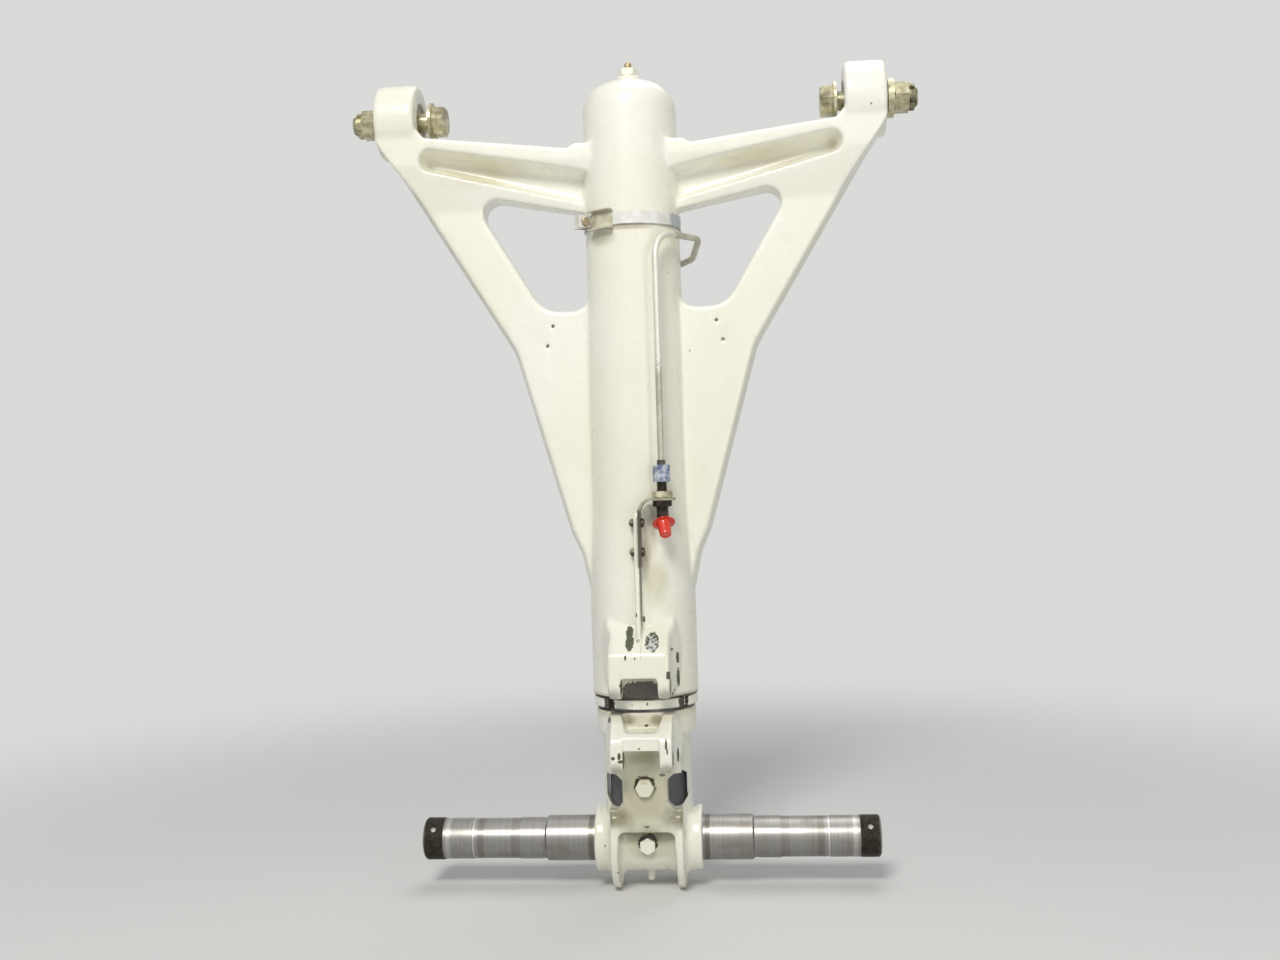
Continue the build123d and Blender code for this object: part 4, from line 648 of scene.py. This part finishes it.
# ---------------------------------------------------------------- brake line
# Quarter inch aluminium tube up the front of the barrel, with steel sleeves, anodised coupling
# nuts and a bulkhead union on a folded bracket; the open union wears a red moulded dust cap.
dress(plated("tube_dull", (0.64, 0.62, 0.53), (0.46, 0.44, 0.35), (0.40, 0.36, 0.22), rough=0.42,
             scale=60.0, dirt=0.35, metallic=0.6,
             marks=[((0.026, -0.061, -0.155), (0.022, 0.080, 0.105), (0.84, 0.83, 0.75), 0.75)]),
      "brake_tube")
dress(plated("sleeve_dark", (0.16, 0.15, 0.14), (0.06, 0.055, 0.05), rough=0.40, dirt=0.3),
      "tube_sleeve", "rear_tube_sleeve")
dress(plated("nut_blue", (0.70, 0.74, 0.80), (0.13, 0.19, 0.36), (0.10, 0.12, 0.18), rough=0.22,
             scale=150.0, dirt=0.25, metallic=1.0), "tube_nut", "rear_tube_nut")
dress(plated("union_dark", (0.15, 0.125, 0.10), (0.05, 0.042, 0.032), (0.34, 0.31, 0.24),
             rough=0.32, dirt=0.25, thread=(2, 0.0013, 0.362, 0.4045)), "bulkhead_union")
dress(plated("bulkhead_cadmium", (0.74, 0.70, 0.50), (0.42, 0.38, 0.24), rough=0.30),
      "bulkhead_nut")
dress(plated("bracket_olive", (0.46, 0.445, 0.34), (0.30, 0.285, 0.20), rough=0.45, scale=80.0,
             dirt=0.35, metallic=0.25,
             # the dark strip on the upright flange's front edge is painted shade
             marks=[((0.0036, -0.068, -0.425), (0.0026, 0.012, 0.030), (0.07, 0.06, 0.045), 0.92)]),
      "union_bracket")
dress(plated("screw_dark", (0.18, 0.15, 0.11), (0.07, 0.055, 0.04), dirt=0.5),
      "bracket_screws", "bracket_nuts")


def moulded(name, colour, deep):
    """Glossy moulded plastic: a touch of depth in its colour and faint scuffs in its gloss."""
    material, tree = shader(name)
    tone = blend_of(tree, grain(tree, 120.0, 3.0), deep, colour)
    scuff = sum_of(tree, "MULTIPLY_ADD", step_up(tree, grain(tree, 700.0, 4.0), 0.45, 0.75), 0.3,
                   0.18)
    plastic = put(tree, "BsdfPrincipled", {"Base Color": tone, "Roughness": scuff,
                                           "Subsurface Weight": 0.15,
                                           "Subsurface Radius": (0.002, 0.0006, 0.0004),
                                           "Coat Weight": 0.3})
    finish_surface(tree, plastic, [(grain(tree, 300.0, 2.0), 0.12, 0.0003)])
    return material


def rounded_profile(corners):
    """Cut every corner of an open profile three times, at a quarter and three quarters of its
    runs, which leaves a smooth line with the same ends."""
    line = np.asarray(corners, float)
    for _ in range(3):
        near = 0.75 * line[:-1] + 0.25 * line[1:]
        far = 0.25 * line[:-1] + 0.75 * line[1:]
        line = np.concatenate([line[:1], np.stack([near, far], 1).reshape(-1, 2), line[-1:]])
    return line


def turned_piece(name, profile, origin, axis, around=96):
    """Profile of (radius, height) swept once round an axis: origin + height axis + radius ring."""
    axis = np.asarray(axis, float) / np.linalg.norm(axis)
    side = np.cross(axis, (0.0, 1.0, 0.0))
    side /= np.linalg.norm(side)
    angle = np.linspace(0, 2 * pi, around, endpoint=False)
    ring = np.outer(np.cos(angle), side) + np.outer(np.sin(angle), np.cross(axis, side))
    points = np.asarray(origin) + profile[:, None, 1:] * axis + profile[:, None, :1] * ring[None]
    made = mesh_of(name, points.reshape(-1, 3), grid_faces(len(profile), around, True))
    closed = bmesh.new()
    closed.from_mesh(made.data)
    bmesh.ops.remove_doubles(closed, verts=closed.verts, dist=1e-6)
    bmesh.ops.recalc_face_normals(closed, faces=closed.faces)
    closed.to_mesh(made.data)
    closed.free()
    return made


# The cap hangs askew on the union's end: a thin wide brim, a tapered body, a dished round end.
# Radius and height from the mouth in millimetres, first down the outside, then the bore.
cap_mouth = (0.0268, -0.0618, -0.4095)
cap_lean = (0.20, -0.70, -1.0)
cap_line = rounded_profile([(6.1, 0.0), (6.3, -0.35), (10.8, -0.35), (11.1, 0.1), (10.8, 0.55),
                            (7.6, 0.55), (6.95, 1.2), (6.2, 7.0), (5.7, 12.6), (5.2, 14.2),
                            (3.9, 14.9), (2.6, 14.3), (0.0, 14.0)]) / 1000
cap_inside = np.array([(0.0, 13.1), (4.8, 13.1), (6.1, 0.0)]) / 1000
cap = turned_piece("red_cap", np.concatenate([cap_inside, cap_line]), cap_mouth, cap_lean)
cap.data.materials.append(moulded("cap_red", (0.80, 0.050, 0.020), (0.62, 0.025, 0.012)))
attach(cap, "dust_cap")
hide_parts("dust_cap")

# ---------------------------------------------------------------- gland nut and what it holds
# The gland nut closes the cylinder and is painted with it.  Bronze bearings, rubber packings and
# the orifice tube are inside, bare as machined or moulded.

# Painted shade lies near black in the nut's four spanner notches and along both its seams.
notch_at = ((-0.0325, -0.0385), (0.0385, -0.0325), (0.0325, 0.0385), (-0.0385, 0.0325))
notch_shade = [((x, y, -0.5848), (0.0075, 0.0075, 0.0085), oil_and_shade_black, 0.97) for x, y in notch_at]
dress(enamel("gland_enamel", hollow_shade_and_dirt=0.0,
             marks=notch_shade + [
                    ((0.0051, -0.051, -0.5836), (0.0009, 0.004, 0.0016), oil_and_shade_black, 0.95),
                    ((-0.0097, -0.051, -0.5840), (0.0010, 0.004, 0.0007), brown_stain_and_shade, 0.80)],
             # painted shade in both seams
             lines=[(-0.5800, 0.0010, 0.0, oil_and_shade_black, 0.95),
                    (-0.5896, 0.0013, 0.0, oil_and_shade_black, 0.95)]), "gland_nut")
dress(plated("turned_bronze", (0.60, 0.40, 0.19), (0.38, 0.23, 0.10), rough=0.34),
      "scraper_ring", "lower_bearing", "seal_spacer", "upper_bearing")
dress(moulded("packing_rubber", (0.030, 0.029, 0.028), (0.012, 0.012, 0.012)),
      "piston_seal", "gland_seal")
dress(moulded("ring_plastic", (0.74, 0.73, 0.68), (0.60, 0.58, 0.50)), "backup_rings")
dress(plated("turned_aluminium", (0.62, 0.62, 0.60), (0.44, 0.44, 0.42), rough=0.38, dirt=0.1),
      "orifice_tube", "piston_bulkhead")
dress(plated("turned_steel", (0.42, 0.41, 0.39), (0.26, 0.25, 0.23), rough=0.30, dirt=0.2),
      "orifice_plate", "bearing_retainer", "metering_pin")

# ---------------------------------------------------------------- piston
# Hard chromed and ground steel tube, hidden by the cylinder until the leg extends.
piston_foot_z = -0.600


def piston_finish(name):
    """Bright chrome above the foot, dull grey below it, with fine rings and upright scuffs."""
    material, tree = shader(name)
    foot = step_up(tree, place_along(tree, 2), piston_foot_z, piston_foot_z - 0.004)
    ground = grain(tree, 700.0, 3.0, (0.05, 0.05, 1))
    cloud = grain(tree, 50.0, 5.0, (1, 1, 0.6))
    chrome = blend_of(tree, cloud, (0.47, 0.48, 0.49), (0.58, 0.58, 0.58))
    dull = blend_of(tree, cloud, (0.095, 0.095, 0.105), (0.135, 0.135, 0.145))
    colour = blend_of(tree, foot, chrome, dull)
    rough = sum_of(tree, "MULTIPLY_ADD", foot, 0.40,
                   sum_of(tree, "MULTIPLY_ADD", cloud, 0.12, 0.12))
    shiny = sum_of(tree, "MULTIPLY_ADD", foot, -0.85, 1.0)
    metal = put(tree, "BsdfPrincipled", {"Base Color": colour, "Roughness": rough,
                                         "Metallic": shiny})
    finish_surface(tree, metal, [(ground, 0.08, 0.0001), (cloud, 0.10, 0.0003)])
    return material


dress(piston_finish("piston_chrome"), "piston_tube")

# ---------------------------------------------------------------- axle fork
# Forged steel fork under the same enamel, bolted across the piston and across the axle.  Its
# clevis takes the lower torque link, and two feet under the axle carry the jack.
fork_bolt_z, axle_z = -665.0, -725.0        # millimetres


def fork_share(points):
    """Little rounding at the clevis, the bolt seats and the windows, more on the rest."""
    x, y, z = (points * 1000).T
    out = np.abs(x)
    share = np.ones(len(points))
    link_clevis = (y < -56) & (out < 36)
    fork_bolt_seat = np.hypot(x, z - fork_bolt_z) < 16.0
    axle_bolt_seat = np.hypot(x, z - axle_z) < 12.5
    axle_bore = np.hypot(y, z - axle_z) < 25
    piston_socket = np.hypot(x, y) < 40.5
    windows = (out > 20) & (out < 42) & (z > -684) & (z < -650)
    share[link_clevis] = 0.3
    share[fork_bolt_seat | axle_bolt_seat | axle_bore | piston_socket] = 0.2
    share[windows] = 0.45
    return share


# The windows' lower edges: how far they are drawn down, and the bands from no effect to full
# effect above, below, on the inner and on the outer side of them, in millimetres.
sill_fall = 6.0
sill_upper_band, sill_lower_band = (-666, -681), (-703, -685)
sill_inner_band, sill_outer_band = (13, 19), (51, 44)


def window_sill_drawn(points):
    """Draw the windows' lower edges 6 mm down, fading out over the hollows below and the sides."""
    x, y, z = (points * 1000).T
    out = np.abs(x)
    share = (ramp(z, *sill_upper_band) * ramp(z, *sill_lower_band)
             * ramp(out, *sill_inner_band) * ramp(out, *sill_outer_band))
    fall = sill_fall * share / 1000
    return points - np.stack([0 * fall, 0 * fall, fall], 1)


fork = fused_skin("fork", ("axle_fork", "lower_link_clevis", "lower_link_ears"),
                  lattice=0.0009, triangles=150000, keep_crisp=fork_share, passes=8,
                  drawn=window_sill_drawn)
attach(fork, "piston")

# Painted olive shade lies over the web, in the scoop under the gland nut, in the clevis slot and
# under its ears, in the hollows under the windows and in the pocket round the axle bolt; the black
# crescents round both bolt heads are painted shadow with dirt; chips lie on the clevis ears, and
# painted shade lies along the seam under the gland nut.
fork.data.materials.clear()
painted_web_shade, painted_deep_shade = (0.38, 0.36, 0.21), (0.20, 0.185, 0.09)
fork.data.materials.append(enamel(
    "fork_enamel", age=0.12,
    chips=[((-0.0206, -0.080, -0.6280), (0.0016, 0.010, 0.0035)),
           ((-0.0190, -0.078, -0.6330), (0.0030, 0.010, 0.0016)),
           ((-0.0265, -0.078, -0.6300), (0.0020, 0.010, 0.0018)),
           ((0.0241, -0.080, -0.6176), (0.0012, 0.010, 0.0050)),
           ((0.0250, -0.079, -0.6240), (0.0008, 0.010, 0.0030)),
           ((-0.0326, -0.048, -0.5985), (0.0018, 0.010, 0.0035)),
           ((0.0331, -0.048, -0.6337), (0.0010, 0.010, 0.0070)),
           ((-0.0017, -0.078, -0.6215), (0.0010, 0.006, 0.0008))],
    # painted shade over the web, in the hollows under the windows and in the pocket round the axle
    # bolt
    stains_and_shade=[((0.0, -0.047, -0.672), (0.046, 0.014, 0.054), painted_web_shade, 0.70),
            ((-0.030, -0.044, -0.694), (0.022, 0.014, 0.015), painted_deep_shade, 0.85),
            ((0.032, -0.044, -0.694), (0.022, 0.014, 0.015), painted_deep_shade, 0.85),
            ((0.0, -0.036, -0.709), (0.046, 0.018, 0.018), painted_deep_shade, 0.90),
            ((0.0, -0.032, -0.728), (0.040, 0.012, 0.020), painted_web_shade, 0.55),
            # painted shade in the scoop under the gland nut and in its corners
            ((0.0, -0.050, -0.602), (0.024, 0.006, 0.009), (0.55, 0.52, 0.36), 0.6),
            ((-0.014, -0.050, -0.599), (0.011, 0.007, 0.008), painted_deep_shade, 0.75),
            ((0.014, -0.050, -0.599), (0.011, 0.007, 0.008), painted_deep_shade, 0.75),
            # painted shade under the lower clevis ears
            ((-0.0240, -0.077, -0.643), (0.010, 0.012, 0.011), painted_ear_shade, 0.80),
            ((0.0240, -0.077, -0.643), (0.010, 0.012, 0.011), painted_ear_shade, 0.80),
            # painted shade in the lower clevis slot
            ((0.0, -0.056, -0.636), (0.023, 0.014, 0.015), painted_web_shade, 0.90)],
    # the first two marks are the crescents round the bolt heads: painted shadow with dirt
    marks=[((0.0, -0.047, -0.6632), (0.0106, 0.006, 0.0100), oil_and_shade_black, 0.95),
           ((0.0004, -0.034, -0.7222), (0.0098, 0.012, 0.0094), oil_and_shade_black, 0.95),
           ((0.0036, -0.0492, -0.6046), (0.0020, 0.006, 0.0012), oil_and_shade_black, 0.95),
           ((-0.0132, -0.0492, -0.6010), (0.0012, 0.006, 0.0008), brown_stain_and_shade, 0.9),
           ((0.0170, -0.047, -0.6529), (0.0030, 0.006, 0.0016), (0.10, 0.09, 0.05), 0.8),
           ((0.0010, -0.047, -0.7030), (0.0028, 0.006, 0.0012), (0.14, 0.11, 0.06), 0.85),
           ((-0.0291, -0.0414, -0.7489), (0.0010, 0.006, 0.0010), oil_and_shade_black, 0.8),
           ((-0.0421, -0.0324, -0.7251), (0.0010, 0.006, 0.0010), oil_and_shade_black, 0.7)],
    # painted shade along the seam under the gland nut
    lines=[(-0.5925, 0.0013, 0.0, oil_and_shade_black, 0.90),
           (-0.5945, 0.0035, 0.004, (0.45, 0.38, 0.2), 0.5)]))
# The fork bolt and its nut are aged greyer as painted shade, like the web's, and the stain across
# the top of the head is painted shadow with dirt.
dress(enamel("bolt_enamel", hollow_shade_and_dirt=0.0, age=0.45,
             stains_and_shade=[((0.0, -0.055, -0.659), (0.006, 0.01, 0.003), brown_stain_and_shade, 0.4)]),
      "fork_bolt", "fork_bolt_nut")
dress(enamel("axle_bolt_enamel", hollow_shade_and_dirt=0.0, age=0.05), "axle_bolt", "axle_bolt_nut")

# ---------------------------------------------------------------- axle
# Straight steel axle, ground all over, with rubbed bands where the bearings and spacers sat and
# dark rusty threads at both ends.

# A worn band: its distance from the middle, half width, tint and strength.
axle_bands = ((0.0575, 0.0035, (0.10, 0.085, 0.06), 0.65),
              (0.1335, 0.0060, (0.20, 0.19, 0.17), 0.45),
              (0.1690, 0.0045, (0.17, 0.155, 0.135), 0.55),
              (0.1765, 0.0010, (0.70, 0.69, 0.66), 0.75),
              (0.2020, 0.0030, (0.66, 0.65, 0.61), 0.45))


def ground_axle(name):
    """Ground steel: fine rings that follow X, a few worn bands, soft clouds and long scuffs."""
    material, tree = shader(name)
    along = sum_of(tree, "ABSOLUTE", place_along(tree, 0))
    rings = grain(tree, 420.0, 4.0, (1, 0.02, 0.02), roughness=0.7)
    broad = grain(tree, 30.0, 3.0, (1, 0.06, 0.06), (4, 0, 0))
    cloud = grain(tree, 55.0, 5.0, (0.5, 1, 1), (1, 2, 3))
    colour = blend_of(tree, step_up(tree, rings, 0.30, 0.70),
                      (0.30, 0.29, 0.27), (0.38, 0.37, 0.35))
    colour = tinted(tree, colour, step_up(tree, broad, 0.48, 0.66), 0.40, (0.24, 0.225, 0.20))
    colour = tinted(tree, colour, step_up(tree, cloud, 0.50, 0.74), 0.45, (0.19, 0.165, 0.13))
    for band_x, half, tint, strength in axle_bands:
        away = sum_of(tree, "ABSOLUTE", sum_of(tree, "SUBTRACT", along, band_x))
        colour = tinted(tree, colour, step_up(tree, away, half, half * 0.5), strength, tint)
    rough = sum_of(tree, "MULTIPLY_ADD", cloud, 0.22, 0.24)
    steel = put(tree, "BsdfPrincipled", {"Base Color": colour, "Roughness": rough, "Metallic": 1.0})
    finish_surface(tree, steel, [(rings, 0.06, 0.0001), (grain(tree, 900.0, 3.0), 0.08, 0.0002)])
    return material


dress(ground_axle("axle_ground_steel"), "axle")

# Cut threads at both ends: a sleeve whose radius follows a one-start helix.
thread_pitch, thread_from, thread_to = 0.0015, 0.2069, 0.2262
thread_root, thread_crest = 0.0199, 0.0208
thread_fade = 0.0015                 # run-out of the thread at each end
thread_rows, thread_around = 131, 128
hole_x, hole_turn, hole_r = 0.2170, radians(130.0), 0.0024
hole_depth = 0.0012


def thread_sleeve(name, side):
    """Radius between root and crest by a soft saw of (x / pitch - angle / turn), fading out at
    both ends, and dented round the cotter hole by a smooth bowl."""
    along = np.linspace(thread_from, thread_to, thread_rows)[:, None]
    angle = np.linspace(0, 2 * pi, thread_around, endpoint=False)[None]
    phase = (along / thread_pitch - angle / (2 * pi)) % 1.0
    height = ramp(1 - np.abs(2 * phase - 1), 0.1, 0.9)
    height = (height * ramp(along, thread_from, thread_from + thread_fade)
              * ramp(along, thread_to, thread_to - thread_fade))
    radius = thread_root + (thread_crest - thread_root) * height
    bowl = np.hypot(along - hole_x, ((angle - hole_turn + pi) % (2 * pi) - pi) * thread_crest)
    radius = radius - hole_depth * ramp(bowl, hole_r * 1.25, hole_r * 0.8)
    axle_low, axle_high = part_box("axle")
    middle_z = (axle_low[2] + axle_high[2]) / 2
    points = np.stack([side * along * np.ones_like(angle), -radius * np.cos(angle - pi / 2),
                       middle_z + radius * np.sin(angle - pi / 2)], -1).reshape(-1, 3)
    faces = grid_faces(thread_rows, thread_around, True)
    return mesh_of(name, points, faces if side < 0 else faces[:, ::-1])


thread_finish = plated("thread_brown", (0.095, 0.080, 0.058), (0.038, 0.032, 0.024), oil_and_shade_black,
                       rough=0.45, scale=260.0, dirt=0.5, metallic=0.6)
for name, side in (("axle_thread_left", -1), ("axle_thread_right", 1)):
    sleeve = thread_sleeve(name, side)
    sleeve.data.materials.append(thread_finish)
    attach(sleeve, "piston")
